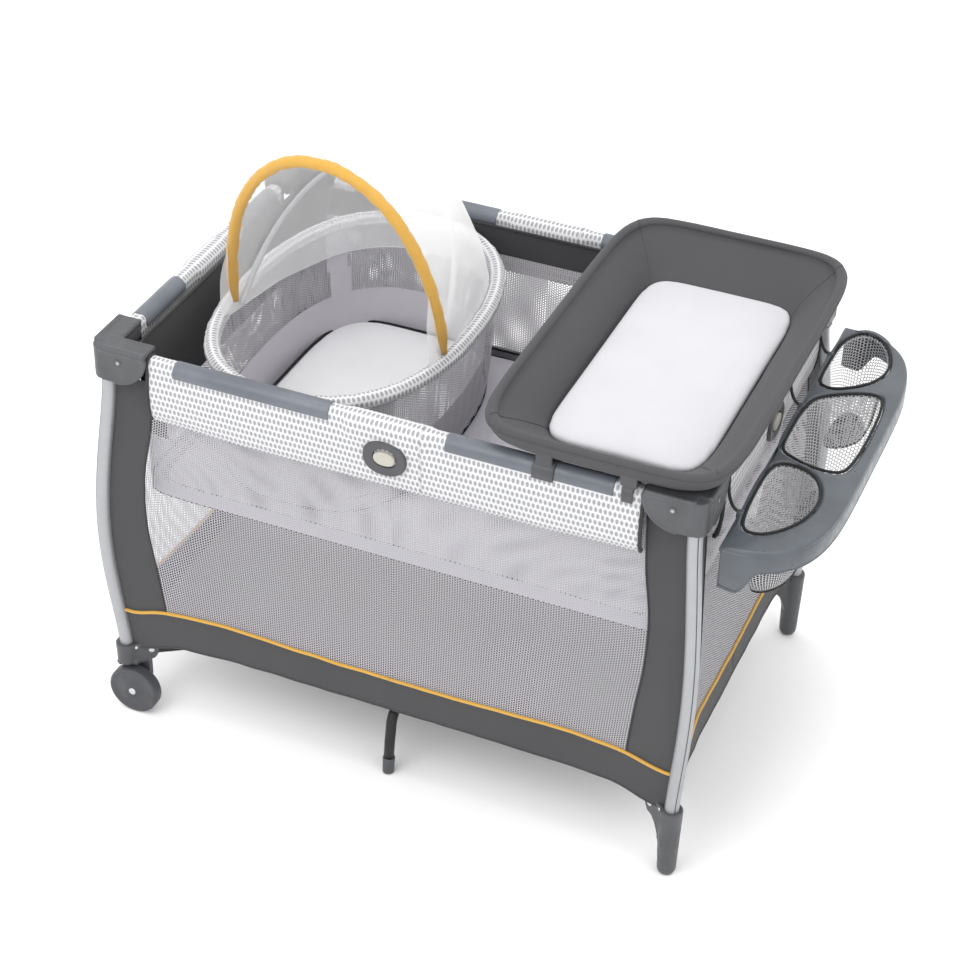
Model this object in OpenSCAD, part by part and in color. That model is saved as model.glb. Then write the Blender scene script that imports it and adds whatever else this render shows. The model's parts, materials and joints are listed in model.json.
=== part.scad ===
// Folding travel play yard with a full-size bassinet insert, a portable bassinet
// with a canopy, a changing tray and a hanging organizer. Millimetres, +Z up.
// The yard is drawn about its own centre and then shifted, so that the origin is
// the middle of the whole object's footprint, on the floor.

/* [Yard frame] */
// Distance from the middle to the leg centres along the long side
leg_x = 481; // [476:1:484]
// Distance from the middle to the leg centres along the short side
leg_y = 322; // [320:1:324]
// Height of the rail centre lines and of the rail pivots
rail_z = 713; // [711:1:716]
// Radius of the leg and rail tubes
tube_r = 11; // [10:0.25:11]
// How far each leg bows outward at half height
leg_bow = 17; // [12:1:18]
// How far the foot of each leg stands outside its top
foot_out = 6; // [4:1:8]
// Distance from a leg centre to its rail pivots
pivot_inset = 31; // [31:1:32]
// Half the distance between the two pivots of a long rail's latch
long_latch_half = 45; // [44:1:47]

/* [Floor frame] */
// Height of the strut pivots
strut_z = 122; // [121:1:123]
// Distance from a leg's lower end to its strut pivot
foot_reach = 40; // [39:1:41]
// Radius of the wheels
wheel_r = 45; // [44:0.5:45]
// Distance from the middle to the tips of the two middle legs
mid_leg_reach = 304; // [298:1:306]

/* [Insert] */
// Height of the insert's floor
insert_floor_z = 443; // [440:1:446]
// Thickness of the mattress
mattress_h = 20; // [16:1:22]

/* [Portable bassinet] */
// Middle of the bassinet along the long side
bassinet_x = -200; // [-204:1:-196]
// Half width of the rim's centre line
bassinet_a = 203; // [198:1:206]
// Half length of the rim's centre line
bassinet_b = 284; // [280:1:284]
// Height of the rim's centre line
bassinet_rim_z = 700; // [698:1:704]
// Dip of the rim from its ends to the middle of its long sides
bassinet_dip = 32; // [0:1:36]
// Forward lean of the front canopy bow, in degrees
bow_lean = 11; // [8:1:14]
// Backward lean of the rear canopy bow, in degrees
rear_lean = 45; // [42:1:50]
// Height of the front bow's arch above its pivots
bow_h = 332; // [320:1:336]
// Height of the rear bow's arch above its pivots
rear_h = 292; // [284:1:296]

/* [Changing tray] */
// Middle of the changing tray along the long side
changer_x = 322; // [320:1:324]
// Half width of the tray's rim
changer_a = 199; // [194:1:200]
// Half length of the tray's rim
changer_b = 339; // [334:1:340]
// Height of the tray's rim
changer_z = 769; // [767:1:775]

/* [Organizer] */
// Height of the organizer's top face
tray_z = 660; // [656:1:662]
// How far the organizer's straight edge is from the middle of the yard
tray_x = 516; // [515:1:518]
// Depth of the organizer from its straight edge to its outer edge
tray_depth = 144; // [138:1:146]

/* [Hidden] */
$fn = 48;
pin_r = 4;
pin_fit = 0.05;
loose_pin_r = 3.2;
lug_r = 12;
lug_w = 22;
slot_w = 23.2;
cap_r = 20;
cap_bottom = rail_z - 37;
cap_top = rail_z + 22;
cap_wing = 41;
pivot_x = leg_x - pivot_inset;
pivot_y = leg_y - pivot_inset;
rail_len_x = pivot_x - long_latch_half;
short_latch_half = 31;
rail_len_y = pivot_y - short_latch_half;
strut_plan = [rail_len_x, rail_len_y];
strut_len = norm(strut_plan);
strut_dir = strut_plan / strut_len;
strut_angle = atan2(strut_dir[1], strut_dir[0]);
leg_foot = [leg_x + foot_out, leg_y + foot_out];
foot_pivot = leg_foot - foot_reach * strut_dir;
hub_pivot = foot_pivot - strut_plan;
strut_lug_w = 14;
ear_gap = 15.2;
ear_t = 4.5;
leg_bottom_z = 104;
leg_bow_z0 = 132;
leg_bow_z1 = rail_z - 53;
leg_top_z = rail_z - 7;
mid_leg_z = 118;
mid_leg_r = 9;
mid_pivot_y = 56;
mid_leg_x = 12;
clip_r0 = 13.2;
clip_r1 = 16;
fabric_z0 = 152;
fabric_z1 = rail_z - 40;
floor_t = 3;
wall_t = 4;
outer_x = leg_x + leg_bow + tube_r + 2.6;
shift_x = (tray_x + tray_depth - outer_x) / 2;

// ---- General shapes ----

function unit(v) = v / norm(v);
function signed_pow(v, p) = sign(v) * pow(abs(v), p);

// A rounded rectangle's outline: p = 2 is an ellipse, higher is squarer
function rounded(a, b, p, n = 40) =
    [for (k = [0:n - 1])
        let (t = 360 * k / n)
        [a * signed_pow(cos(t), 2 / p), b * signed_pow(sin(t), 2 / p)]];

function ring_at(outline, centre, z) = [for (p = outline) [centre[0] + p[0], centre[1] + p[1], z]];

function tangent(path, i, closed) =
    let (n = len(path),
         a = closed ? path[(i + n - 1) % n] : path[max(i - 1, 0)],
         b = closed ? path[(i + 1) % n] : path[min(i + 1, n - 1)])
    unit(b - a);

function tube_rings(path, r, up, closed = false, sides = 10) =
    [for (i = [0:len(path) - 1])
        let (t = tangent(path, i, closed), e1 = unit(cross(up, t)), e2 = cross(t, e1))
        [for (k = [0:sides - 1])
            path[i] + r * (cos(360 * k / sides) * e1 + sin(360 * k / sides) * e2)]];

// A closed skin over rings with equal numbers of points
module skin(rings, closed = false) {
    m = len(rings);
    n = len(rings[0]);
    spans = closed ? m : m - 1;
    sides = [for (i = [0:spans - 1], j = [0:n - 1])
        let (a = i * n + j, b = i * n + (j + 1) % n,
             c = ((i + 1) % m) * n + (j + 1) % n, d = ((i + 1) % m) * n + j)
        each [[a, d, c], [a, c, b]]];
    ends = closed ? [] : [[for (j = [0:n - 1]) j], [for (j = [0:n - 1]) m * n - 1 - j]];
    polyhedron(points = [for (r = rings) each r], faces = concat(sides, ends));
}

// A sheet between two grids of points, with square edges all round
module sheet(outer, inner) {
    m = len(outer);
    n = len(outer[0]);
    back = m * n;
    walls = [for (i = [0:m - 2], j = [0:n - 2])
        let (a = i * n + j, b = a + 1, c = a + n + 1, d = a + n)
        each [[a, d, c], [a, c, b], [back + a, back + c, back + d], [back + a, back + b, back + c]]];
    across = [for (j = [0:n - 2])
        let (a = j, z = (m - 1) * n + j)
        each [[a, a + 1, back + a + 1, back + a], [back + z, back + z + 1, z + 1, z]]];
    along = [for (i = [0:m - 2])
        let (a = i * n, z = i * n + n - 1)
        each [[back + a, back + a + n, a + n, a], [z, z + n, back + z + n, back + z]]];
    polyhedron(points = concat([for (r = outer) each r], [for (r = inner) each r]),
        faces = concat(walls, across, along));
}

module tube(path, r, up, closed = false, sides = 10) {
    skin(tube_rings(path, r, up, closed, sides), closed);
}

// Puts a yard piece into the object's frame
module placed() {
    translate([-shift_x, 0, 0]) children();
}

// Mirrors a piece drawn for the back right corner to another corner
module corner(sx, sy) {
    placed()
        mirror([sx < 0 ? 1 : 0, 0, 0])
            mirror([0, sy < 0 ? 1 : 0, 0])
                children();
}

module pin_y(x, y0, y1, z, r = pin_r) {
    translate([x, y0, z]) rotate([-90, 0, 0]) cylinder(r = r, h = y1 - y0);
}

module pin_x(x0, x1, y, z, r = pin_r) {
    translate([x0, y, z]) rotate([0, 90, 0]) cylinder(r = r, h = x1 - x0);
}

// Frame with X along a strut, from the foot pivot towards the hub
module along_strut(at) {
    translate([at[0], at[1], strut_z]) rotate([0, 0, 180 + strut_angle]) children();
}

// ---- Corners ----

function leg_offset(z) =
    let (t = min(max((z - leg_bow_z0) / (leg_bow_z1 - leg_bow_z0), 0), 1))
    foot_out * (1 - t) + leg_bow * pow(sin(180 * t), 1.3);

leg_levels = concat([leg_bottom_z, 118], [for (i = [0:16])
    leg_bow_z0 + (leg_bow_z1 - leg_bow_z0) * i / 16], [rail_z - 30, leg_top_z]);

module leg_tube() {
    color("#b5b7b8")
        tube([for (z = leg_levels) [leg_x + leg_offset(z), leg_y + leg_offset(z), z]],
             tube_r, [1, 0, 0], sides = 12);
}

module cap_wing_shape(reach) {
    // Side view of a wing, with a slanted end
    polygon([[0, cap_bottom], [reach - cap_wing, cap_bottom],
             [reach, cap_top], [0, cap_top]]);
}

module corner_cap() {
    wing_x = leg_x - 405;
    wing_y = leg_y - 245;
    color("#6f6f6d") difference() {
        union() {
            translate([leg_x, leg_y, cap_bottom]) cylinder(r = cap_r, h = cap_top - cap_bottom);
            translate([leg_x, leg_y - cap_r, 0]) rotate([90, 0, 180])
                linear_extrude(height = 2 * cap_r) cap_wing_shape(wing_x);
            translate([leg_x + cap_r, leg_y, 0]) rotate([90, 0, -90])
                linear_extrude(height = 2 * cap_r) cap_wing_shape(wing_y);
        }
        // Leg socket
        translate([leg_x, leg_y, cap_bottom - 1]) cylinder(r = tube_r + 0.5, h = leg_top_z - cap_bottom + 2);
        // Slots for the rail ends, open below
        translate([leg_x - wing_x - 1, leg_y - slot_w / 2, cap_bottom - 1])
            cube([wing_x + 1 - pivot_inset + lug_r + 1.5, slot_w, rail_z + lug_r + 0.8 - cap_bottom + 1]);
        translate([leg_x - slot_w / 2, leg_y - wing_y - 1, cap_bottom - 1])
            cube([slot_w, wing_y + 1 - pivot_inset + lug_r + 1.5, rail_z + lug_r + 0.8 - cap_bottom + 1]);
        pin_y(pivot_x, leg_y - cap_r - 1, leg_y + cap_r + 1, rail_z, pin_r + pin_fit);
        pin_x(leg_x - cap_r - 1, leg_x + cap_r + 1, pivot_y, rail_z, pin_r + pin_fit);
    }
}

module web_outline() {
    // Side view of a foot's wing: a flat top, a round nose and a hollow curve down
    curve = [for (a = [0:10:90]) [50 - 36 * sin(a), -16 - 78 * (1 - cos(a))]];
    polygon(concat([[0, -94], [0, 14], [46, 14], [53, 7], [54, -4]], curve));
}

module foot_wing() {
    along_strut(leg_foot) difference() {
        rotate([90, 0, 0]) translate([0, 0, -ear_gap / 2 - ear_t])
            linear_extrude(height = ear_gap + 2 * ear_t) web_outline();
        translate([foot_reach - 14.5, -ear_gap / 2, -15]) cube([40, ear_gap, 40]);
        pin_y(foot_reach, -20, 20, 0, pin_r + pin_fit);
    }
}

module leg_socket() {
    translate([leg_foot[0], leg_foot[1], leg_bottom_z - 2]) cylinder(r = tube_r + 1, h = 60);
}

module foot() {
    color("#66666a") difference() {
        union() {
            translate([leg_foot[0], leg_foot[1], 4]) cylinder(r1 = 16, r2 = 19, h = 132);
            translate([leg_foot[0], leg_foot[1], 0]) cylinder(r1 = 12.5, r2 = 16, h = 4);
            foot_wing();
        }
        leg_socket();
    }
}

wheel_x = leg_foot[0] - 15;
wheel_y0 = leg_foot[1] - 4;
wheel_t = 24;

module wheel_bracket() {
    color("#66666a") difference() {
        union() {
            intersection() {
                union() {
                    translate([leg_foot[0], leg_foot[1], 94]) cylinder(r1 = 17, r2 = 19, h = 42);
                    foot_wing();
                }
                translate([0, 0, 94]) cube([600, 600, 60]);
            }
            translate([wheel_x - 22, leg_foot[1] - 22, 60]) cube([40, 11, 48]);
            translate([wheel_x, leg_foot[1] - 22, wheel_r + 6]) rotate([-90, 0, 0]) cylinder(r = 22, h = 11);
            pin_y(wheel_x, leg_foot[1] - 12, wheel_y0 - 1, wheel_r, 9);
        }
        leg_socket();
        pin_y(wheel_x, leg_foot[1] - 30, wheel_y0 + 40, wheel_r, pin_r + pin_fit);
    }
}

module wheel() {
    color("#55555a") difference() {
        union() {
            pin_y(wheel_x, wheel_y0, wheel_y0 + wheel_t, wheel_r, wheel_r - 3);
            pin_y(wheel_x, wheel_y0 + 3, wheel_y0 + wheel_t - 3, wheel_r, wheel_r);
        }
        pin_y(wheel_x, wheel_y0 - 1, wheel_y0 + wheel_t + 1, wheel_r, pin_r + pin_fit);
    }
}

// The pins of one corner: two rail pivots, the strut pivot and, on a wheel
// bracket, the axle
module corner_pins(with_axle) {
    color("#c8cacc") {
        pin_y(pivot_x, leg_y - cap_r + 1, leg_y + cap_r, rail_z);
        pin_y(pivot_x, leg_y + cap_r, leg_y + cap_r + 1.6, rail_z, 6);
        pin_x(leg_x - cap_r + 1, leg_x + cap_r, pivot_y, rail_z);
        pin_x(leg_x + cap_r, leg_x + cap_r + 1.6, pivot_y, rail_z, 6);
        along_strut(leg_foot) pin_y(foot_reach, -ear_gap / 2 - ear_t, ear_gap / 2 + ear_t, 0);
        if (with_axle) {
            pin_y(wheel_x, leg_foot[1] - 21, wheel_y0 + wheel_t, wheel_r);
            pin_y(wheel_x, wheel_y0 + wheel_t, wheel_y0 + wheel_t + 1.6, wheel_r, 6);
        }
    }
}

// Two parallel bars between a foot and the hub
module strut() {
    bar_w = 9;
    bar_h = 11;
    color("#2e2e30") along_strut(foot_pivot) difference() {
        union() {
            for (x = [0, strut_len])
                pin_y(x, -strut_lug_w / 2, strut_lug_w / 2, 0, lug_r);
            for (z = [-bar_h - 2.5, 2.5])
                translate([11, -bar_w / 2, z]) cube([strut_len - 22, bar_w, bar_h]);
            for (x = [9, strut_len - 17])
                translate([x, -bar_w / 2, -10]) cube([8, bar_w, 20]);
        }
        for (x = [0, strut_len])
            pin_y(x, -20, 20, 0, pin_r + pin_fit);
    }
}

// The fabric of one corner: half a long side, half a short side, a quarter of the floor
module side_fabric() {
    color("#e6e6e8") {
        translate([4, leg_y - 6, fabric_z0]) cube([pivot_x + 8, wall_t, fabric_z1 - fabric_z0]);
        translate([leg_x - 6, 4, fabric_z0]) cube([wall_t, pivot_y + 5, fabric_z1 - fabric_z0]);
        translate([38, 32, fabric_z0]) cube([leg_x - 46, leg_y - 40, floor_t]);
    }
}

// ---- Rails and latches ----

module rail_end(x, z) {
    pin_y(x, -lug_w / 2, lug_w / 2, z, lug_r);
}

// One half of a rail along X: from x0, at the latch, to x1, at the cap
module rail_half(x0, x1) {
    wall = 1.5;
    color("#a9adb1") difference() {
        union() {
            pin_x(x0, x1, 0, 0, tube_r);
            rail_end(x0, 0);
            rail_end(x1, 0);
        }
        pin_x(x0 + 22, x1 - 22, 0, 0, tube_r - wall);
        for (x = [x0, x1]) pin_y(x, -20, 20, 0, pin_r + pin_fit);
    }
}

module long_rail(sy) {
    placed() translate([0, sy * leg_y, rail_z]) children();
}

module short_rail(sx) {
    placed() translate([sx * leg_x, 0, rail_z]) rotate([0, 0, 90]) children();
}

// A latch block seen from its own middle: X along the rail, +Y outward
module latch_block(half) {
    side = 15.6;
    plate_drop = 45;
    color("#6f6f73") difference() {
        union() {
            translate([-half - 12, -side, -17]) cube([2 * half + 24, 2 * side, 29]);
            translate([0, 22, -plate_drop]) rotate([90, 0, 0])
                linear_extrude(height = 19) polygon(rounded(35.5, 29.5, 2.3));
        }
        for (s = [-1, 1]) {
            translate([s > 0 ? half - 14.5 : -half - 30, -slot_w / 2, -12.8])
                cube([44.5, slot_w, 60]);
            pin_y(s * half, -30, 30, 0, pin_r + pin_fit);
        }
        translate([0, 24, -plate_drop]) rotate([90, 0, 0])
            linear_extrude(height = 16.5) polygon(rounded(18.3, 12.3, 2.2));
    }
    // The pivot pin on the left is a fit; the one on the right is the open pivot
    color("#c8cacc") {
        pin_y(-half, -side, side, 0);
        pin_y(half, -side, side, 0, loose_pin_r);
    }
}

module latch_button() {
    color("#b9b6b0") translate([0, 24, -45]) rotate([90, 0, 0])
        linear_extrude(height = 10) polygon(rounded(18, 12, 2.2));
}

module outward(sy) {
    mirror([0, sy < 0 ? 1 : 0, 0]) children();
}

// ---- Floor frame ----

module hub_corner() {
    along_strut(hub_pivot) difference() {
        translate([-11, -ear_gap / 2 - ear_t, -14]) cube([42, ear_gap + 2 * ear_t, 28]);
        translate([-20, -ear_gap / 2, -20]) cube([36, ear_gap, 40]);
        pin_y(0, -20, 20, 0, pin_r + pin_fit);
    }
}

module four_corners() {
    for (sx = [0, 1], sy = [0, 1])
        mirror([sx, 0, 0]) mirror([0, sy, 0]) children();
}

module mid_leg_ears() {
    gap = 19;
    difference() {
        translate([mid_leg_x - gap / 2 - 3.6, 30, mid_leg_z - 12]) cube([gap + 7.2, 36, 24]);
        translate([mid_leg_x - gap / 2, 44, mid_leg_z - 20]) cube([gap, 30, 40]);
        pin_x(mid_leg_x - 20, mid_leg_x + 20, mid_pivot_y, mid_leg_z, pin_r + pin_fit);
    }
}

module center_hub() {
    color("#4a4a4d") placed() {
        translate([-32, -36, strut_z - 16]) cube([64, 72, 36]);
        four_corners() hub_corner();
        for (a = [0, 180]) rotate([0, 0, a]) mid_leg_ears();
        color("#c8cacc") {
            four_corners() along_strut(hub_pivot)
                pin_y(0, -ear_gap / 2 - ear_t, ear_gap / 2 + ear_t, 0);
            for (a = [0, 180]) rotate([0, 0, a])
                pin_x(mid_leg_x - 13, mid_leg_x + 13, mid_pivot_y, mid_leg_z);
        }
    }
}

// The middle leg's centre line: level, a bend, then down to the floor
mid_leg_bend = 26;
mid_leg_path = concat(
    [[0, 6, 0]],
    [for (a = [0:15:75])
        [0, mid_leg_reach - mid_pivot_y - 12 - mid_leg_bend * (1 - sin(a)), -mid_leg_bend * (1 - cos(a))]],
    [[0, mid_leg_reach - mid_pivot_y - 6, -66], [0, mid_leg_reach - mid_pivot_y, 1 - mid_leg_z]]);

module mid_leg() {
    color("#3a3a3d") translate([mid_leg_x, mid_pivot_y, mid_leg_z]) difference() {
        union() {
            tube(mid_leg_path, mid_leg_r, [1, 0, 0], sides = 12);
            pin_x(-9, 9, 0, 0, 10);
        }
        pin_x(-10, 10, 0, 0, pin_r + pin_fit);
    }
}

// ---- Insert ----

module clip_length(x0, x1) {
    translate([x0, 0, 0]) rotate([90, 0, 90]) linear_extrude(height = x1 - x0) difference() {
        union() {
            circle(r = clip_r1);
            translate([-clip_r1, -6]) square([2 * clip_r1, 6]);
        }
        circle(r = clip_r0);
        translate([-clip_r0, -20]) square([2 * clip_r0, 20]);
        translate([-clip_r1 - 1, -26]) square([2 * clip_r1 + 2, 20]);
    }
}

module insert_clips() {
    color("#7b8088") {
        for (sy = [-1, 1], sx = [0, 1])
            long_rail(sy) mirror([sx, 0, 0]) clip_length(95, 358);
        for (sx = [-1, 1], sy = [0, 1])
            short_rail(sx) mirror([sy, 0, 0]) clip_length(100, 222);
    }
}

module insert_shell() {
    x1 = 448;
    y1 = 296;
    top = rail_z - 13;
    color("#c9c6cd") placed() {
        for (s = [-1, 1]) {
            translate([-x1 + 1, s > 0 ? y1 : -y1 - 3, insert_floor_z + 4])
                cube([2 * x1 - 2, 3, top - insert_floor_z - 4]);
            translate([s > 0 ? x1 : -x1 - 3, -y1 + 1, insert_floor_z + 4])
                cube([3, 2 * y1 - 2, top - insert_floor_z - 4]);
        }
        translate([-x1, -y1, insert_floor_z]) cube([2 * x1, 2 * y1, 3]);
    }
}

module insert_bars() {
    z = insert_floor_z - 9;
    color("#3a3a3d") placed() {
        for (x = [-400, -135, 135, 400]) pin_y(x, -268, 268, z, 8);
    }
}

module mattress() {
    z = insert_floor_z + 4;
    color("#bdb9c0") placed() translate([0, 0, z])
        linear_extrude(height = mattress_h) polygon(rounded(430, 284, 24, 48));
}

// ---- Portable bassinet ----

bassinet_c = [bassinet_x, 0];
bow_pivot_y = -90;
bow_pivot_z = bassinet_rim_z;
bow_half = 187;
rear_half = 174;
bassinet_floor_z = insert_floor_z + mattress_h + 8;

// How far the rim lies below its ends at a place along its length
function rim_drop(y) = bassinet_dip * (1 - pow(min(abs(y) / bassinet_b, 1), 2));

// A ring of points that follows the dip of the rim, by a share of it
function dipped(outline, z, share = 1) =
    [for (p = outline) [bassinet_x + p[0], p[1], z - share * rim_drop(p[1])]];

module bassinet_rim() {
    path = dipped(rounded(bassinet_a, bassinet_b, 2.6, 56), bassinet_rim_z);
    lug_z = bassinet_rim_z - rim_drop(bow_pivot_y);
    color("#eeeeee") placed() {
        difference() {
            union() {
                tube(path, 10, [0, 0, 1], closed = true, sides = 12);
                for (s = [-1, 1])
                    translate([bassinet_x + s * (bow_half + 9.5) - 4, bow_pivot_y - 10, lug_z])
                        cube([8, 20, bow_pivot_z + 10 - lug_z]);
            }
            pin_x(bassinet_x - 220, bassinet_x + 220, bow_pivot_y, bow_pivot_z, pin_r + pin_fit);
        }
        for (s = [-1, 1])
            pin_x(bassinet_x + (s > 0 ? rear_half - 6 : -bow_half - 14),
                  bassinet_x + (s > 0 ? bow_half + 14 : -rear_half + 6),
                  bow_pivot_y, bow_pivot_z);
    }
}

module bassinet_shell() {
    low = bassinet_floor_z;
    high = bassinet_rim_z - 12;
    outline = function(a, b) rounded(a, b, 2.8, 44);
    color("#dcdadf") placed() skin([
        ring_at(outline(166, 258), bassinet_c, low),
        ring_at(outline(174, 266), bassinet_c, low + 12),
        dipped(outline(201, 283), high),
        dipped(outline(197, 279), high),
        ring_at(outline(170, 262), bassinet_c, low + 13),
        ring_at(outline(163, 255), bassinet_c, low + 4)]);
}

module bassinet_mattress() {
    color("#ececee") placed() translate([bassinet_x, 0, bassinet_floor_z + 7])
        linear_extrude(height = 24) polygon(rounded(150, 246, 3.2, 44));
}

// A point of a bow's arch, t from 0 at the right foot to 180 at the left
function bow_point(half, h, t) = [half * signed_pow(cos(t), 0.95), 0, h * pow(sin(t), 0.95)];

module bow(half, h, r) {
    difference() {
        union() {
            tube([for (t = [0:6:180]) bow_point(half, h, t)], r, [0, 1, 0], sides = 10);
            for (s = [-1, 1]) pin_x(s * half - 4, s * half + 4, 0, 0, 8);
        }
        pin_x(-220, 220, 0, 0, pin_r + pin_fit);
    }
}

module canopy_front_bow() {
    color("#e3b04b") placed() translate([bassinet_x, bow_pivot_y, bow_pivot_z])
        rotate([bow_lean, 0, 0]) bow(bow_half, bow_h, 5);
}

module canopy_rear_bow() {
    color("#e8e8ea") placed() translate([bassinet_x, bow_pivot_y, bow_pivot_z])
        rotate([-rear_lean, 0, 0]) bow(rear_half, rear_h, 4);
}

// One cross-section of the canopy: an arch that leans back by lean degrees
function canopy_arch(half, h, lean, lift, n = 25) =
    [for (k = [0:n - 1])
        let (t = 6 + 168 * k / (n - 1), p = bow_point(half, h, t))
        [bassinet_x + p[0], bow_pivot_y + p[2] * sin(lean), bow_pivot_z + lift + p[2] * cos(lean)]];

// The canopy's arches: each one's lean and its height, slack between the bows and behind the rear one
canopy_arches = [[-bow_lean, bow_h + 9], [8, rear_h + 8], [28, rear_h + 5], [rear_lean, rear_h + 10],
    [60, rear_h - 5], [75, rear_h - 15], [86, rear_h - 15]];

module canopy_fabric() {
    outer = [for (a = canopy_arches) canopy_arch(bow_half + 9, a[1], a[0], 5)];
    inner = [for (a = canopy_arches) canopy_arch(bow_half + 7.4, a[1] - 1.6, a[0], 5)];
    color("#f4f4f6") placed() sheet(outer, inner);
}

// ---- Changing tray ----

changer_c = [changer_x, 0];
hook_x = [250, 380];

module changer_hooks() {
    r0 = clip_r1 + 1.5;
    r1 = r0 + 3;
    for (sy = [-1, 1], x = hook_x) {
        translate([x - 9, sy * leg_y, rail_z]) rotate([90, 0, 90])
            linear_extrude(height = 18) difference() {
                circle(r = r1);
                circle(r = r0);
                translate([-r1 - 1, -r1 - 1]) square([2 * r1 + 2, r1 + 1]);
            }
        translate([x - 5, sy * (leg_y + 12) - 4, rail_z + 14]) cube([10, 8, changer_z - rail_z - 18]);
    }
}

module changer_frame() {
    path = [for (p = rounded(changer_a, changer_b, 6, 56))
        [changer_x + p[0], p[1], changer_z]];
    color("#4c4c50") placed() {
        tube(path, 8, [0, 0, 1], closed = true, sides = 10);
        changer_hooks();
    }
}

module changer_shell() {
    outline = function(a, b) rounded(a, b, 6, 48);
    mid_c = [324, 0];
    low_c = [330, 0];
    color("#5a5a5e") placed() skin([
        ring_at(outline(120, 240), low_c, rail_z - 13),
        ring_at(outline(137, 298), mid_c, rail_z + 24),
        ring_at(outline(188, 328), changer_c, changer_z - 2),
        ring_at(outline(184, 324), changer_c, changer_z - 2),
        ring_at(outline(133, 294), mid_c, rail_z + 26),
        ring_at(outline(117, 237), low_c, rail_z - 9)]);
}

module changer_pad() {
    color("#f2f2f4") placed() translate([332, 0, rail_z - 7])
        linear_extrude(height = 12) polygon(rounded(110, 228, 6, 44));
}

// ---- Organizer ----

// Outline of the tray: straight along the yard, bulging outward
function tray_outline(inset) =
    let (n = 32, half = 325 - inset)
    concat(
        [[tray_x + inset, half], [tray_x + inset, -half]],
        [for (k = [0:n])
            let (t = -90 + 180 * k / n)
            [tray_x + 24 + (tray_depth - 24 - inset) * pow(abs(cos(t)), 0.62),
             half * signed_pow(sin(t), 0.8)]]);

// Each pocket's middle and half sizes
pockets = [[569, -185, 48, 92], [580, 20, 58, 96], [569, 226, 46, 84]];

module pocket_outline(p, grow) {
    translate([p[0], p[1]]) polygon(rounded(p[2] + grow, p[3] + grow, 3, 36));
}

module organizer_tray() {
    skirt_z = tray_z - 34;
    hook_y = [-233, 72, 233];
    color("#b8c2cc") placed() {
        difference() {
            translate([0, 0, skirt_z]) linear_extrude(height = tray_z - skirt_z)
                polygon(tray_outline(0));
            translate([0, 0, skirt_z - 1]) linear_extrude(height = tray_z - skirt_z - 4)
                polygon(tray_outline(3.5));
            translate([0, 0, skirt_z - 1]) linear_extrude(height = 60)
                for (p = pockets) pocket_outline(p, 0);
        }
        for (s = [-1, 1])
            translate([tray_x, s > 0 ? 313 : -325, tray_z - 76]) cube([34, 12, 60]);
        for (y = hook_y) organizer_hook(y);
    }
}

module organizer_hook(y) {
    translate([leg_x, y + 6.5, rail_z]) rotate([90, 0, 0]) linear_extrude(height = 13) {
        difference() {
            circle(r = clip_r1);
            circle(r = clip_r0);
            translate([-20, -21]) square([40, 21]);
        }
        translate([clip_r0, -rail_z + tray_z - 6]) square([clip_r1 - clip_r0, rail_z - tray_z + 6.5]);
        translate([clip_r0, -rail_z + tray_z - 6]) square([tray_x - leg_x - clip_r0 + 2, 5]);
    }
}

module organizer_pockets() {
    depth = [136, 150, 136];
    color("#d9dadc") placed() for (i = [0:2]) {
        p = pockets[i];
        c = [p[0], p[1]];
        top = tray_z - 5;
        low = top - depth[i];
        shape = function(g) rounded(p[2] - g, p[3] - g, 3, 32);
        skin([
            ring_at(shape(22), c, low),
            ring_at(shape(9), c, low + 14),
            ring_at(shape(1), c, top),
            ring_at(shape(3.5), c, top),
            ring_at(shape(11.5), c, low + 15),
            ring_at(shape(24), c, low + 3)]);
    }
}

// ---- Nodes ----

corner(-1, -1) leg_tube();  // leg_tube_fl
corner(1, -1) leg_tube();  // leg_tube_fr
corner(-1, 1) leg_tube();  // leg_tube_bl
corner(1, 1) leg_tube();  // leg_tube_br
corner(-1, -1) corner_cap();  // corner_cap_fl
corner(1, -1) corner_cap();  // corner_cap_fr
corner(-1, 1) corner_cap();  // corner_cap_bl
corner(1, 1) corner_cap();  // corner_cap_br
corner(-1, -1) wheel_bracket();  // wheel_bracket_fl
corner(-1, 1) wheel_bracket();  // wheel_bracket_bl
corner(1, -1) foot();  // foot_fr
corner(1, 1) foot();  // foot_br
corner(-1, -1) wheel();  // wheel_fl
corner(-1, 1) wheel();  // wheel_bl
corner(-1, -1) corner_pins(true);  // corner_pins_fl
corner(1, -1) corner_pins(false);  // corner_pins_fr
corner(-1, 1) corner_pins(true);  // corner_pins_bl
corner(1, 1) corner_pins(false);  // corner_pins_br
corner(-1, -1) strut();  // strut_fl
corner(1, -1) strut();  // strut_fr
corner(-1, 1) strut();  // strut_bl
corner(1, 1) strut();  // strut_br
corner(-1, -1) side_fabric();  // side_fabric_fl
corner(1, -1) side_fabric();  // side_fabric_fr
corner(-1, 1) side_fabric();  // side_fabric_bl
corner(1, 1) side_fabric();  // side_fabric_br
long_rail(-1) rail_half(-pivot_x, -long_latch_half);  // rail_front_l
long_rail(-1) rail_half(long_latch_half, pivot_x);  // rail_front_r
long_rail(1) rail_half(-pivot_x, -long_latch_half);  // rail_back_l
long_rail(1) rail_half(long_latch_half, pivot_x);  // rail_back_r
short_rail(-1) rail_half(-pivot_y, -short_latch_half);  // rail_left_f
short_rail(-1) rail_half(short_latch_half, pivot_y);  // rail_left_b
short_rail(1) rail_half(-pivot_y, -short_latch_half);  // rail_right_f
short_rail(1) rail_half(short_latch_half, pivot_y);  // rail_right_b
long_rail(-1) outward(-1) latch_block(long_latch_half);  // latch_front
long_rail(1) latch_block(long_latch_half);  // latch_back
short_rail(-1) latch_block(short_latch_half);  // latch_left
short_rail(1) outward(-1) latch_block(short_latch_half);  // latch_right
long_rail(-1) outward(-1) latch_button();  // button_front
long_rail(1) latch_button();  // button_back
short_rail(-1) latch_button();  // button_left
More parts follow.
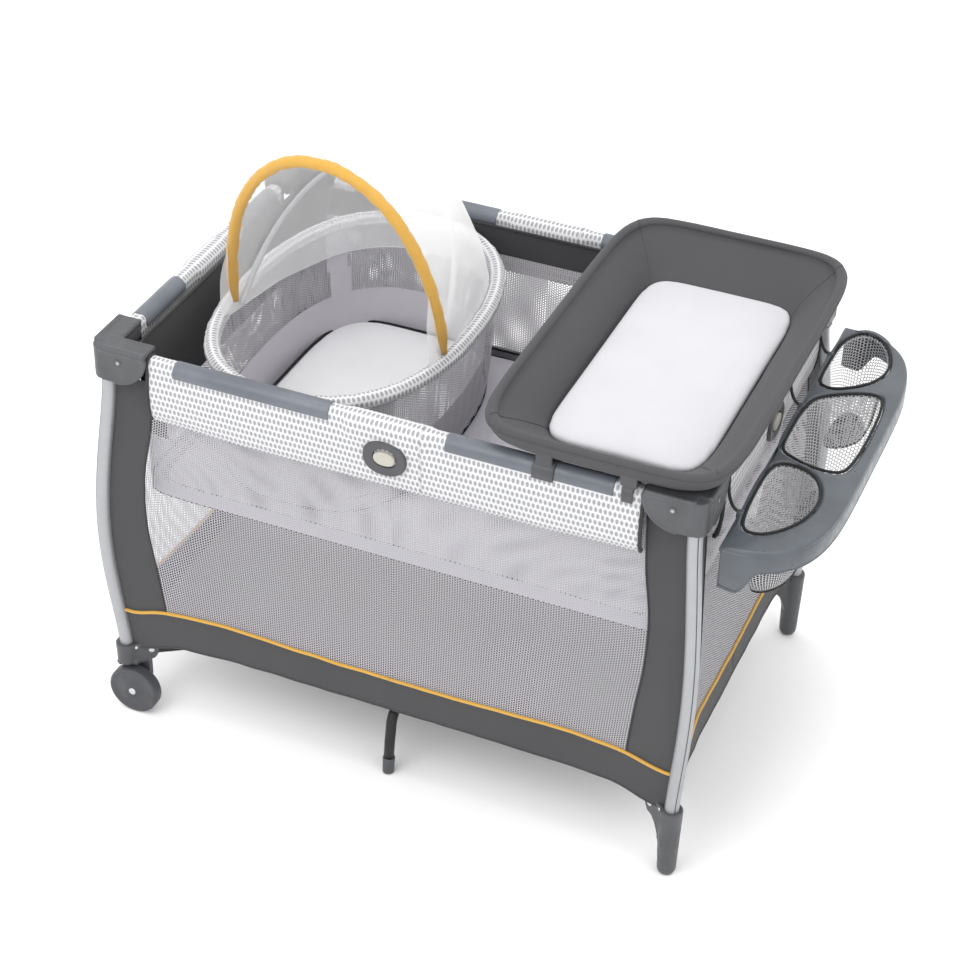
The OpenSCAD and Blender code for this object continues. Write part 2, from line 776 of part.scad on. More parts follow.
short_rail(1) outward(-1) latch_button();  // button_right
center_hub();
placed() rotate([0, 0, 180]) mid_leg();  // mid_leg_front
placed() mid_leg();  // mid_leg_back
mattress();
insert_shell();
insert_clips();
insert_bars();
bassinet_rim();
bassinet_shell();
bassinet_mattress();
canopy_front_bow();
canopy_rear_bow();
canopy_fabric();
changer_frame();
changer_shell();
changer_pad();
organizer_tray();
organizer_pockets();
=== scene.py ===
"""Looks of a folding travel play yard with an insert, a bassinet, a changing tray and an organizer.

Pieces are drawn in millimetres about the middle of the yard, as the CAD model is, and the
mesh makers put them into the frame in metres. A section of a rail or a wall is a list of
points (out, up): out is the distance outward from the rail's centre line.
"""
import json
import math

import bmesh
import bpy
import numpy as np
from mathutils import Matrix, Vector, noise


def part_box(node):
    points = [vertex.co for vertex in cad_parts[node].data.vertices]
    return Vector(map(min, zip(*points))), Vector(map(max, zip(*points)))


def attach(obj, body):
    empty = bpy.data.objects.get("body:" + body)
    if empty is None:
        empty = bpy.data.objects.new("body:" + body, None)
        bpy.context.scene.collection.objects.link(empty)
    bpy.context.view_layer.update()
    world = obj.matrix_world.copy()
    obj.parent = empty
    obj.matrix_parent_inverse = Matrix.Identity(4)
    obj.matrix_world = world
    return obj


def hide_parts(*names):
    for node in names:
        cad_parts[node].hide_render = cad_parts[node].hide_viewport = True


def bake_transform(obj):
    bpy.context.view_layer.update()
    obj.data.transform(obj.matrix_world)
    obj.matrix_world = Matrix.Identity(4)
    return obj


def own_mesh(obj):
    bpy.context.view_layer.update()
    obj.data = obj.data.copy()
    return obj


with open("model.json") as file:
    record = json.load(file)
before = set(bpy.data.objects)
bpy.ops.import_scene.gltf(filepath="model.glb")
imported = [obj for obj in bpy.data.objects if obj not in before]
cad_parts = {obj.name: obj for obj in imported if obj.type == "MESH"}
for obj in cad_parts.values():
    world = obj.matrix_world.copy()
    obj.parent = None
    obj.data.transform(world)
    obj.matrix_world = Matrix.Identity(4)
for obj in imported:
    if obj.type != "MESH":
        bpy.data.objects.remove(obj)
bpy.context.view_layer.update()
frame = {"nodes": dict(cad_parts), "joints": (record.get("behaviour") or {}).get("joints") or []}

# ---- The frame's own sizes, in millimetres ----

MM = 0.001
joints = {j["name"]: j for j in frame["joints"]}


def pivot(name):
    return [c / MM for c in joints[name]["pos_m"]]


def box(node):
    low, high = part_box(node)
    return [c / MM for c in low], [c / MM for c in high]


yard_x = (pivot("rail_front_l_swing")[0] + pivot("rail_front_r_swing")[0]) / 2
pivot_x = pivot("rail_front_r_swing")[0] - yard_x
leg_y = -pivot("rail_front_r_swing")[1]
rail_z = pivot("rail_front_r_swing")[2]
leg_x = pivot("rail_right_f_swing")[0] - yard_x
pivot_y = -pivot("rail_right_f_swing")[1]
latch_half_x = yard_x - pivot("latch_front_level")[0]
latch_half_y = -pivot("latch_left_level")[1]
foot_pivot = (pivot("leg_br_level")[0] - yard_x, pivot("leg_br_level")[1])
strut_z = pivot("leg_br_level")[2]
strut_dir = Vector((pivot("leg_br_level")[0] - pivot("strut_br_swing")[0],
                    pivot("leg_br_level")[1] - pivot("strut_br_swing")[1], 0)).normalized()
leg_foot = (foot_pivot[0] + 40 * strut_dir.x, foot_pivot[1] + 40 * strut_dir.y)
bow_y = pivot("canopy_front")[1]
bow_z = pivot("canopy_front")[2]
bassinet_x = pivot("canopy_front")[0] - yard_x
wheel_z = pivot("wheel_fl_roll")[2]
wheel_x = yard_x - pivot("wheel_fl_roll")[0]

CORNERS = {"fl": (-1, -1), "fr": (1, -1), "bl": (-1, 1), "br": (1, 1)}
leg_bow = 17  # how far a leg bulges outward between its foot and its cap
tube_r = 11  # of the leg tubes
cap_r = 20  # of the corner caps' posts
clip_r0 = 13.2  # inside and outside of the rail clips
clip_r1 = 16
band_drop = 101  # from a rail's centre line down to the outer hem of its printed cloth


def smooth(a, b, x):
    t = min(max((x - a) / (b - a), 0.0), 1.0)
    return t * t * (3 - 2 * t)


def mix(a, b, t):
    return a + (b - a) * t


def through(knots, t):
    """A smooth curve through a few points, t from 0 to 1."""
    k = [np.array(p, float) for p in knots]
    s = min(max(t, 0.0), 1.0) * (len(k) - 1)
    i = min(int(s), len(k) - 2)
    f = s - i
    a, b = k[i], k[i + 1]
    before = k[i - 1] if i > 0 else 2 * a - b
    after = k[i + 2] if i + 2 < len(k) else 2 * b - a
    return 0.5 * (2 * a + (b - before) * f + (2 * before - 5 * a + 4 * b - after) * f * f
                  + (3 * a - before - 3 * b + after) * f ** 3)


def closed_through(knots, n):
    """n points on a smooth closed curve through a few points."""
    k = [np.array(p, float) for p in knots]
    m = len(k)
    out = []
    for j in range(n):
        s = j * m / n
        i = int(s)
        f = s - i
        p0, p1, p2, p3 = (k[(i + d) % m] for d in (-1, 0, 1, 2))
        out.append(0.5 * (2 * p1 + (p2 - p0) * f + (2 * p0 - 5 * p1 + 4 * p2 - p3) * f * f
                          + (3 * p1 - p0 - 3 * p2 + p3) * f ** 3))
    return out


def spow(v, p):
    return math.copysign(abs(v) ** p, v)


def superellipse(a, b, p, t):
    return a * spow(math.cos(t), 2 / p), b * spow(math.sin(t), 2 / p)


def rounded(cx, cy, a, b, p, n):
    """n points round a rounded rectangle, evenly spaced along it."""
    raw = [superellipse(a, b, p, 2 * math.pi * k / (8 * n)) for k in range(8 * n)]
    return [(cx + x, cy + y) for x, y in evenly(raw, n)]


def evenly(points, n):
    """n evenly spaced points on a closed outline."""
    pts = np.array(list(points) + [points[0]], float)
    along = np.concatenate([[0], np.cumsum(np.linalg.norm(np.diff(pts, axis=0), axis=1))])
    at = np.linspace(0, along[-1], n, endpoint=False)
    return list(zip(*(np.interp(at, along, pts[:, d]) for d in range(pts.shape[1]))))


def ripple(p, scale, seed=0.0):
    """Smooth noise from -1 to 1 at a point in millimetres."""
    return noise.noise(Vector((p[0] / scale + seed, p[1] / scale - seed, p[2] / scale + 2 * seed)))


# ---- Mesh makers ----

def put(points):
    return [((p[0] + yard_x) * MM, p[1] * MM, p[2] * MM) for p in points]


def new_object(name, mesh, materials):
    obj = bpy.data.objects.new(name, mesh)
    bpy.context.scene.collection.objects.link(obj)
    for m in materials:
        mesh.materials.append(m)
    return smooth_faces(obj)


def grid(name, rows, materials, across=False, along=False, kind=None):
    """A sheet over rows of points. across closes each row into a loop, along joins the last
    row to the first. kind(i, j) is the index of a face's material. UVs are metres of cloth."""
    rows = np.array(rows, float)
    m, n = rows.shape[:2]
    wide = np.linalg.norm(np.diff(rows, axis=1, append=rows[:, :1]), axis=2).mean(axis=0)
    tall = np.linalg.norm(np.diff(rows, axis=0, append=rows[:1]), axis=2).mean(axis=1)
    u = np.concatenate([[0], np.cumsum(wide)]) * MM
    v = np.concatenate([[0], np.cumsum(tall)]) * MM
    faces, uvs, kinds = [], [], []
    for i in range(m if along else m - 1):
        for j in range(n if across else n - 1):
            i2, j2 = (i + 1) % m, (j + 1) % n
            faces.append((i * n + j, i * n + j2, i2 * n + j2, i2 * n + j))
            uvs += [(u[j], v[i]), (u[j + 1], v[i]), (u[j + 1], v[i + 1]), (u[j], v[i + 1])]
            kinds.append(kind(i, j) if kind else 0)
    mesh = bpy.data.meshes.new(name)
    mesh.from_pydata(put(rows.reshape(-1, 3)), [], faces)
    layer = mesh.uv_layers.new(name="cloth")
    layer.data.foreach_set("uv", np.array(uvs, np.float32).reshape(-1))
    obj = new_object(name, mesh, materials)
    mesh.polygons.foreach_set("material_index", kinds)
    return obj


def across(t):
    """Two directions square to a direction and to each other."""
    up = Vector((0, 0, 1)) if abs(t.z) < 0.9 else Vector((1, 0, 0))
    first = up.cross(t).normalized()
    return first, t.cross(first)


def frames_on(path, closed):
    """A direction and two cross directions at each point of a path, without twisting."""
    pts = [Vector(p) for p in path]
    n = len(pts)
    out = []
    side = None
    for i, p in enumerate(pts):
        before = pts[i - 1] if i > 0 or closed else pts[i]
        after = pts[(i + 1) % n] if i < n - 1 or closed else pts[i]
        t = (after - before).normalized()
        if side is None:
            side = across(t)[0]
        side = (side - t * side.dot(t)).normalized()
        out.append((p, side, t.cross(side)))
    return out


def tube_rows(path, radius, sides=16, closed=False):
    """Rings round a path. radius is a number or a function of the point's index and angle."""
    size = radius if callable(radius) else (lambda i, a: radius)
    rows = []
    for i, (p, e1, e2) in enumerate(frames_on(path, closed)):
        ring = []
        for k in range(sides):
            a = 2 * math.pi * k / sides
            r = size(i, a)
            ring.append(tuple(p + e1 * (r * math.cos(a)) + e2 * (r * math.sin(a))))
        rows.append(ring)
    return rows


def tube(name, path, radius, material, sides=16, closed=False):
    rows = tube_rows(path, radius, sides, closed)
    obj = grid(name, rows, [material], across=True, along=closed)
    if not closed:
        cap_ends(obj, len(rows), sides)
    return obj


def cap_ends(obj, m, n):
    """Closes the two open ends of a tube of m rings."""
    bm = bmesh.new()
    bm.from_mesh(obj.data)
    bm.verts.ensure_lookup_table()
    for ring in ([bm.verts[j] for j in range(n)][::-1], [bm.verts[(m - 1) * n + j] for j in range(n)]):
        bm.faces.new(ring)
    bm.to_mesh(obj.data)
    bm.free()


def prism(outline, w0, w1, place):
    """A closed solid: an outline of (u, v) points between two levels w. place gives (x, y, z)."""
    n = len(outline)
    points = [place(u, v, w0) for u, v in outline] + [place(u, v, w1) for u, v in outline]
    faces = [tuple(range(n))[::-1], tuple(range(n, 2 * n))]
    faces += [(k, (k + 1) % n, n + (k + 1) % n, n + k) for k in range(n)]
    return points, faces


def block(low, high):
    (x0, y0, z0), (x1, y1, z1) = low, high
    return prism([(x0, y0), (x1, y0), (x1, y1), (x0, y1)], z0, z1, lambda u, v, w: (u, v, w))


def rod(a, b, r, r_end=None, sides=28):
    """A round bar from a to b, tapering to r_end."""
    a, b = Vector(a), Vector(b)
    e1, e2 = across((b - a).normalized())
    points = []
    for centre, radius in ((a, r), (b, r if r_end is None else r_end)):
        for k in range(sides):
            q = 2 * math.pi * k / sides
            points.append(tuple(centre + e1 * (radius * math.cos(q)) + e2 * (radius * math.sin(q))))
    faces = [tuple(range(sides))[::-1], tuple(range(sides, 2 * sides))]
    faces += [(k, (k + 1) % sides, sides + (k + 1) % sides, sides + k) for k in range(sides)]
    return points, faces


def bar(path, radius, sides=12):
    """A closed bar along a path, as a solid for moulded()."""
    rows = tube_rows(path, radius, sides)
    m = len(rows)
    points = [p for ring in rows for p in ring]
    faces = [tuple(range(sides)), tuple(range((m - 1) * sides, m * sides))[::-1]]
    for i in range(m - 1):
        for k in range(sides):
            k2 = (k + 1) % sides
            faces.append((i * sides + k, i * sides + k2, (i + 1) * sides + k2, (i + 1) * sides + k))
    return points, faces


def settle(obj):
    """Applies an object's modifiers to its mesh."""
    bpy.context.view_layer.update()
    done = bpy.data.meshes.new_from_object(obj.evaluated_get(bpy.context.evaluated_depsgraph_get()))
    obj.modifiers.clear()
    old, obj.data = obj.data, done
    bpy.data.meshes.remove(old)
    return obj


def moulded(name, solids, material, voxel, rounds):
    """One smooth moulded solid from overlapping simple solids. voxel is its grain in millimetres."""
    points, faces = [], []
    for ps, fs in solids:
        start = len(points)
        points += ps
        faces += [tuple(start + k for k in f) for f in fs]
    mesh = bpy.data.meshes.new(name)
    mesh.from_pydata(put(points), [], faces)
    obj = new_object(name, mesh, [material])
    remesh = obj.modifiers.new("join", "REMESH")
    remesh.mode = "VOXEL"
    remesh.voxel_size = voxel * MM
    soften = obj.modifiers.new("round", "SMOOTH")
    soften.iterations = rounds
    soften.factor = 0.6
    thin = obj.modifiers.new("thin", "DECIMATE")
    thin.ratio = 0.45
    return smooth_faces(settle(obj))


def smooth_faces(obj):
    obj.data.polygons.foreach_set("use_smooth", [True] * len(obj.data.polygons))
    return obj


def points_of(mesh):
    """A mesh's points, in metres, as rows of x, y, z."""
    co = np.empty(3 * len(mesh.vertices))
    mesh.vertices.foreach_get("co", co)
    return co.reshape(-1, 3)


def mirrored(obj, name, sx, sy):
    """A copy of a back right piece, mirrored to another corner of the yard."""
    mesh = obj.data.copy()
    mesh.name = name
    co = points_of(mesh)
    if sx < 0:
        co[:, 0] = 2 * yard_x * MM - co[:, 0]
    if sy < 0:
        co[:, 1] = -co[:, 1]
    mesh.vertices.foreach_set("co", co.reshape(-1))
    if sx * sy < 0:
        mesh.flip_normals()
    mesh.update()
    made = bpy.data.objects.new(name, mesh)
    bpy.context.scene.collection.objects.link(made)
    return made


def thicken(obj, thickness, offset=0.0):
    """Gives a sheet a thickness in millimetres."""
    m = obj.modifiers.new("thickness", "SOLIDIFY")
    m.thickness = thickness * MM
    m.offset = offset
    return settle(obj)


def join(name, parts):
    """Several objects as one piece."""
    bpy.ops.object.select_all(action="DESELECT")
    for o in parts:
        o.select_set(True)
    bpy.context.view_layer.objects.active = parts[0]
    bpy.ops.object.join()
    parts[0].name = name
    return parts[0]


def declare(obj, body, slot, replaces=None):
    """Attaches a piece to the body that it rides on and hides the CAD node that it stands for. slot, its kind
    of material, is not used.
    """
    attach(obj, body)
    if replaces:
        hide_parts(replaces)


# ---- Materials ----

def linear(code):
    """A hex colour as the linear values that shaders use."""
    parts = [int(code[i:i + 2], 16) / 255 for i in (1, 3, 5)]
    return [c / 12.92 if c <= 0.04045 else ((c + 0.055) / 1.055) ** 2.4 for c in parts] + [1.0]


def tinted(code, share):
    """A hex colour made lighter or darker, as linear values."""
    return [min(1, c * share) for c in linear(code)[:3]] + [1]


class Nodes:
    """Short ways to build a material's nodes."""

    def __init__(self, name, roughness, metallic=0.0, sheen=0.0, coat=0.0):
        self.material = bpy.data.materials.new(name)
        self.material.use_nodes = True
        self.tree = self.material.node_tree
        self.shader = self.tree.nodes["Principled BSDF"]
        self.shader.inputs["Roughness"].default_value = roughness
        self.shader.inputs["Metallic"].default_value = metallic
        self.shader.inputs["Sheen Weight"].default_value = sheen
        self.shader.inputs["Sheen Roughness"].default_value = 0.5
        self.shader.inputs["Coat Weight"].default_value = coat

    def node(self, kind, inputs=(), **settings):
        made = self.tree.nodes.new("ShaderNode" + kind)
        for key, value in settings.items():
            setattr(made, key, value)
        for key, value in dict(inputs).items():
            if isinstance(value, bpy.types.NodeSocket):
                self.tree.links.new(value, made.inputs[key])
            else:
                made.inputs[key].default_value = value
        return made

    def math(self, operation, a, b=0.0, c=0.0):
        return self.node("Math", {0: a, 1: b, 2: c}, operation=operation).outputs[0]

    def coordinates(self, kind):
        return self.node("TexCoord").outputs[kind]

    def noise(self, where, scale, detail=3.0):
        return self.node("TexNoise", {"Vector": where, "Scale": scale, "Detail": detail}).outputs["Fac"]

    def ramp(self, value, low, high, to_low=0.0, to_high=1.0):
        inputs = {0: value, 1: low, 2: high, 3: to_low, 4: to_high}
        return self.node("MapRange", inputs, interpolation_type="SMOOTHSTEP").outputs[0]

    def blend(self, amount, a, b):
        mixer = self.node("Mix", {0: amount}, data_type="RGBA")
        for slot, value in ((6, a), (7, b)):
            if isinstance(value, bpy.types.NodeSocket):
                self.tree.links.new(value, mixer.inputs[slot])
            else:
                mixer.inputs[slot].default_value = value
        return mixer.outputs[2]

    def link(self, socket, name):
        self.tree.links.new(socket, self.shader.inputs[name])

    def bump(self, height, strength, distance):
        made = self.node("Bump", {"Height": height, "Strength": strength, "Distance": distance})
        self.link(made.outputs["Normal"], "Normal")

    def spots(self, where, pitch_u, pitch_v, ru, rv, soft):
        """1 inside staggered ovals: pitches and radii in metres of cloth."""
        split = self.node("SeparateXYZ", {0: where})
        u = self.math("DIVIDE", split.outputs[0], pitch_u)
        shift = self.math("MULTIPLY", self.math("MODULO", self.math("FLOOR", u), 2.0), 0.5)
        v = self.math("ADD", self.math("DIVIDE", split.outputs[1], pitch_v), shift)
        du = self.math("MULTIPLY", self.math("SUBTRACT", self.math("FRACT", u), 0.5), pitch_u / ru)
        dv = self.math("MULTIPLY", self.math("SUBTRACT", self.math("FRACT", v), 0.5), pitch_v / rv)
        d = self.math("ADD", self.math("MULTIPLY", du, du), self.math("MULTIPLY", dv, dv))
        return self.ramp(d, 1.0 - soft, 1.0 + soft, 1.0, 0.0)

    def threads(self, where, pitch):
        """The height of a plain weave, from 0 to 1."""
        split = self.node("SeparateXYZ", {0: where})
        waves = []
        for axis in (0, 1):
            phase = self.math("MULTIPLY", split.outputs[axis], 2 * math.pi / pitch)
            waves.append(self.math("SINE", phase))
        product = self.math("MULTIPLY", waves[0], waves[1])
        return self.math("MULTIPLY_ADD", product, 0.5, 0.5)


def plastic(name, code, roughness):
    """Moulded plastic: a fine spark-eroded grain and a little colour variation."""
    n = Nodes(name, roughness, coat=0.05)
    where = n.coordinates("Object")
    light, dark = tinted(code, 1.12), tinted(code, 0.88)
    n.link(n.blend(n.ramp(n.noise(where, 14.0), 0.3, 0.7), dark, light), "Base Color")
    n.link(n.ramp(n.noise(where, 60.0), 0.3, 0.7, roughness - 0.07, roughness + 0.08), "Roughness")
    n.bump(n.noise(where, 2600.0, 2.0), 0.10, 0.0004)
    return n.material


def metal(name, code, roughness, metallic=0.85):
    """Painted or bright metal with fine speckle."""
    n = Nodes(name, roughness, metallic=metallic)
    where = n.coordinates("Object")
    n.link(n.blend(n.noise(where, 900.0, 2.0), tinted(code, 0.9), linear(code)), "Base Color")
    n.link(n.ramp(n.noise(where, 45.0), 0.3, 0.7, roughness - 0.06, roughness + 0.08), "Roughness")
    n.bump(n.noise(where, 1500.0), 0.06, 0.0003)
    return n.material


def woven(name, code, pitch, sheen=0.25, roughness=0.85, uv=True, shade=0.12):
    """Plain woven cloth: threads, slubs and soft wrinkles."""
    n = Nodes(name, roughness, sheen=sheen)
    where = n.coordinates("UV" if uv else "Object")
    place = n.coordinates("Object")
    weave = n.threads(where, pitch)
    slub = n.noise(place, 320.0, 2.0)
    broad = n.noise(place, 9.0, 3.0)
    dark, light = tinted(code, 1 - 1.6 * shade), tinted(code, 1 + shade)
    tone = n.math("MULTIPLY_ADD", weave, 0.45, n.math("MULTIPLY", slub, 0.55))
    first = n.blend(tone, dark, light)
    soft = n.blend(n.ramp(broad, 0.3, 0.75), dark, linear(code))
    n.link(n.blend(0.3, first, soft), "Base Color")
    n.bump(n.math("MULTIPLY_ADD", broad, 1.5, weave), 0.35, 0.0006)
    return n.material


def printed(name, ground, spot):
    """White cloth with staggered rows of small ovals."""
    n = Nodes(name, 0.8, sheen=0.15)
    uv = n.coordinates("UV")
    place = n.coordinates("Object")
    pitch_u, pitch_v = 0.0114, 0.0074
    inside = n.spots(uv, pitch_u, pitch_v, 0.0041, 0.0025, 0.28)
    core = n.spots(uv, pitch_u, pitch_v, 0.0028, 0.0015, 0.5)
    cloth_colour = n.blend(n.noise(place, 260.0, 2.0), tinted(ground, 0.93), linear(ground))
    ink = n.blend(core, linear(spot), tinted(spot, 1.12))
    n.link(n.blend(inside, cloth_colour, ink), "Base Color")
    height = n.math("MULTIPLY_ADD", n.threads(uv, 0.0012), 0.5, n.math("MULTIPLY", inside, -0.6))
    n.bump(height, 0.3, 0.0006)
    return n.material


def netting(name, code, pitch=0.0042, hole=0.40):
    """Knitted mesh: rows of staggered round holes through a light yarn."""
    n = Nodes(name, 0.7, sheen=0.1)
    uv = n.coordinates("UV")
    hole_u = pitch * hole
    inside = n.spots(uv, pitch, pitch * 1.15, hole_u, hole_u * 1.05, 0.35)
    near = n.spots(uv, pitch, pitch * 1.15, hole_u * 1.35, hole_u * 1.4, 0.3)
    n.link(n.blend(near, linear(code), tinted(code, 0.72)), "Base Color")
    n.link(n.math("SUBTRACT", 1.0, inside), "Alpha")
    n.bump(n.math("SUBTRACT", 1.0, near), 0.4, 0.0006)
    return n.material


def sheer(name, code, alpha):
    """Thin semi-sheer cloth with a fine weave."""
    n = Nodes(name, 0.75, sheen=0.3)
    uv = n.coordinates("UV")
    place = n.coordinates("Object")
    weave = n.threads(uv, 0.0014)
    n.link(n.blend(weave, tinted(code, 0.93), linear(code)), "Base Color")
    n.link(n.math("MULTIPLY_ADD", weave, 0.12, alpha), "Alpha")
    n.bump(n.math("MULTIPLY_ADD", n.noise(place, 30.0), 1.2, n.math("MULTIPLY", weave, 0.3)), 0.25, 0.0008)
    return n.material


def knitted(name, code):
    """A soft brushed cover, in fine cells."""
    n = Nodes(name, 0.9, sheen=0.35)
    place = n.coordinates("Object")
    cells = n.node("TexVoronoi", {"Vector": place, "Scale": 330.0}).outputs["Distance"]
    broad = n.noise(place, 7.0)
    n.link(n.blend(n.ramp(broad, 0.3, 0.7), tinted(code, 0.95), linear(code)), "Base Color")
    n.bump(n.math("MULTIPLY_ADD", broad, 1.0, cells), 0.18, 0.0008)
    return n.material


MAT = {
    "leg": metal("leg_paint", "#a4a5a8", 0.42, metallic=0.55),
    # groove: dark grey for the painted shade strip in each leg's groove, and for the discs under the cap
    # screws.
    "groove": plastic("leg_groove", "#4c4e50", 0.6),
    "dark_steel": metal("dark_steel", "#242426", 0.42, metallic=0.4),
    "bright": metal("bright_steel", "#c9cbcd", 0.28),
    "cap": plastic("cap_plastic", "#454649", 0.45),
    "foot": plastic("foot_plastic", "#434447", 0.45),
    "clip": plastic("clip_plastic", "#5e636b", 0.38),
    "tray": plastic("tray_plastic", "#4b5056", 0.34),
    "latch": plastic("latch_plastic", "#404044", 0.42),
    "button": plastic("button_plastic", "#a4a198", 0.38),
    "wheel": plastic("wheel_plastic", "#414246", 0.5),
    "dark": woven("dark_cloth", "#404042", 0.0012, sheen=0.05),
    "binding": woven("binding_cloth", "#2e2e30", 0.0009, sheen=0.05, uv=False),
    "black": woven("black_piping", "#19191b", 0.0008, sheen=0.03, uv=False),
    "yellow": woven("yellow_piping", "#c99b40", 0.0010, uv=False, shade=0.08),
    "bow": woven("bow_cloth", "#c89a41", 0.0012, shade=0.08),
    "print": printed("print_cloth", "#cfcfd1", "#8b8b8f"),
    "side_mesh": netting("side_mesh", "#c1bfc4"),
    "inner_mesh": netting("inner_mesh", "#e2e0e4", 0.0040, 0.36),
    "black_mesh": netting("pocket_mesh", "#c9c9cb", 0.0046, 0.42),
    "lavender": woven("lavender_cloth", "#c6c3cb", 0.0011, sheen=0.1, shade=0.05),
    "floor_cloth": woven("floor_cloth", "#77767a", 0.0014),
    "changer": woven("changer_cloth", "#3f3f42", 0.0010, sheen=0.06, roughness=0.72, shade=0.07),
    "canopy": sheer("canopy_cloth", "#ffffff", 0.52),
    "pad": knitted("pad_cover", "#bdbdc1"),
    "mattress": woven("mattress_cover", "#d0cdd6", 0.0011, sheen=0.1, uv=False, shade=0.04),
    "white_mattress": knitted("bassinet_cover", "#f0f0f2"),
}


# ---- Corners: legs, caps, feet, wheels ----

LEG_Z0, LEG_Z1 = 132, rail_z - 53
FOOT_OUT = leg_foot[0] - leg_x


def leg_offset(z):
    """How far a leg stands outside its top, in x and in y."""
    t = min(max((z - LEG_Z0) / (LEG_Z1 - LEG_Z0), 0), 1)
    return FOOT_OUT * (1 - t) + leg_bow * math.sin(math.pi * t) ** 1.3


def leg_path(out=0.0):
    bowed = [LEG_Z0 + (LEG_Z1 - LEG_Z0) * i / 40 for i in range(41)]
    levels = [106, 116, *bowed, rail_z - 30, rail_z - 10]
    s = out / math.sqrt(2)
    return [(leg_x + leg_offset(z) + s, leg_y + leg_offset(z) + s, z) for z in levels]


def at_corner(corner, made, slot, replaces):
    """Copies a back right piece to a corner, where it rides on the leg."""
    name = made.name.replace("_br", "_" + corner)
    piece = made if corner == "br" else mirrored(made, name, *CORNERS[corner])
    declare(piece, "leg_" + corner, slot, replaces + corner)


def at_corners(made, slot, replaces, corners=tuple(CORNERS)):
    for corner in corners:
        at_corner(corner, made, slot, replaces)


def legs():
    """The bowed leg tubes, each with a dark strip laid in its outer groove as painted shade of the groove."""
    def profile(i, a):
        # A flattened tube: two lobes with a groove that faces outward
        turn = math.atan2(math.sin(a - groove), math.cos(a - groove))
        return tube_r + 0.6 - 1.5 * math.exp(-(turn / 0.12) ** 2)

    e1, e2 = frames_on(leg_path(), False)[10][1:]
    out = Vector((1, 1, 0)).normalized()
    groove = math.atan2(e2.dot(out), e1.dot(out))
    made = tube("leg_br", leg_path(), profile, MAT["leg"], sides=72)
    # A thin dark tube along the groove's floor: painted shade in the groove between the tube's two lobes.
    seam = tube("seam", leg_path(tube_r - 0.6), 0.8, MAT["groove"], sides=8)
    at_corners(join("leg_br", [made, seam]), "leg_silver", "leg_tube_")


CAP_LOW, CAP_TOP = rail_z - 38, rail_z + 22
LID = 8


def wing_outline(reach):
    """Side view of a cap's wing, from the corner outwards: a flat top and a rounded lower edge."""
    under = CAP_TOP - LID
    curve = [(reach * 0.30 + reach * 0.70 * math.sin(q), under - (under - CAP_LOW) * math.cos(q))
             for q in (math.radians(9 * k) for k in range(11))]
    return [(0, CAP_LOW), *curve, (reach, CAP_TOP), (0, CAP_TOP)]


def cap():
    """The corner caps: a post with a wing along each rail, open below between face and back."""
    under = CAP_TOP - LID
    wing_x, wing_y = leg_x - 404, leg_y - 246
    along_x = lambda u, v, w: (leg_x - u, w, v)
    along_y = lambda u, v, w: (w, leg_y - u, v)
    ox, oy = leg_x + cap_r, leg_y + cap_r
    ix, iy = leg_x - 14, leg_y - 14
    solids = [rod((leg_x, leg_y, CAP_LOW), (leg_x, leg_y, CAP_TOP - 2), cap_r)]
    for reach, place, face, back in ((wing_x, along_x, oy, iy - 5), (wing_y, along_y, ox, ix - 5)):
        shape = wing_outline(reach)
        solids.append(prism(shape, face - 6, face, place))
        inner_face = [(u, max(v, rail_z - 8)) for u, v in shape]
        solids.append(prism(inner_face, back, back + 5, place))
        lid = [(0, under), (reach, under), (reach, CAP_TOP), (0, CAP_TOP)]
        solids.append(prism(lid, back, face, place))
        solids.append(bar([place(u, v, face - 1.5) for u, v in shape[1:12]], 3.2))
        for w, r in ((face - 3, 6), (back + 4, 5)):
            solids.append(bar([place(u, CAP_TOP - 4, w) for u in (0, reach * 0.5, reach - 2)], r))
    made = moulded("cap_br", solids, MAT["cap"], voxel=1.8, rounds=4)
    at_corners(made, "cap_plastic", "corner_cap_")


def head(centre, out, r, bulge):
    """Rings of a domed rivet head that faces out."""
    rows = []
    c, t = Vector(centre), Vector(out).normalized()
    e1, e2 = across(t)
    for share, level in ((1.0, -1.5), (1.0, 0.35), (0.86, 0.8), (0.6, 1.0), (0.25, 1.1), (0.01, 1.12)):
        ring = []
        for k in range(20):
            q = 2 * math.pi * k / 20
            ring.append(tuple(c + t * (bulge * level) + (e1 * math.cos(q) + e2 * math.sin(q)) * (r * share)))
        rows.append(ring)
    return rows


def rivet(name, centre, out, r, bulge=1.3, material="bright"):
    return grid(name, head(centre, out, r, bulge), [MAT[material]], across=True)


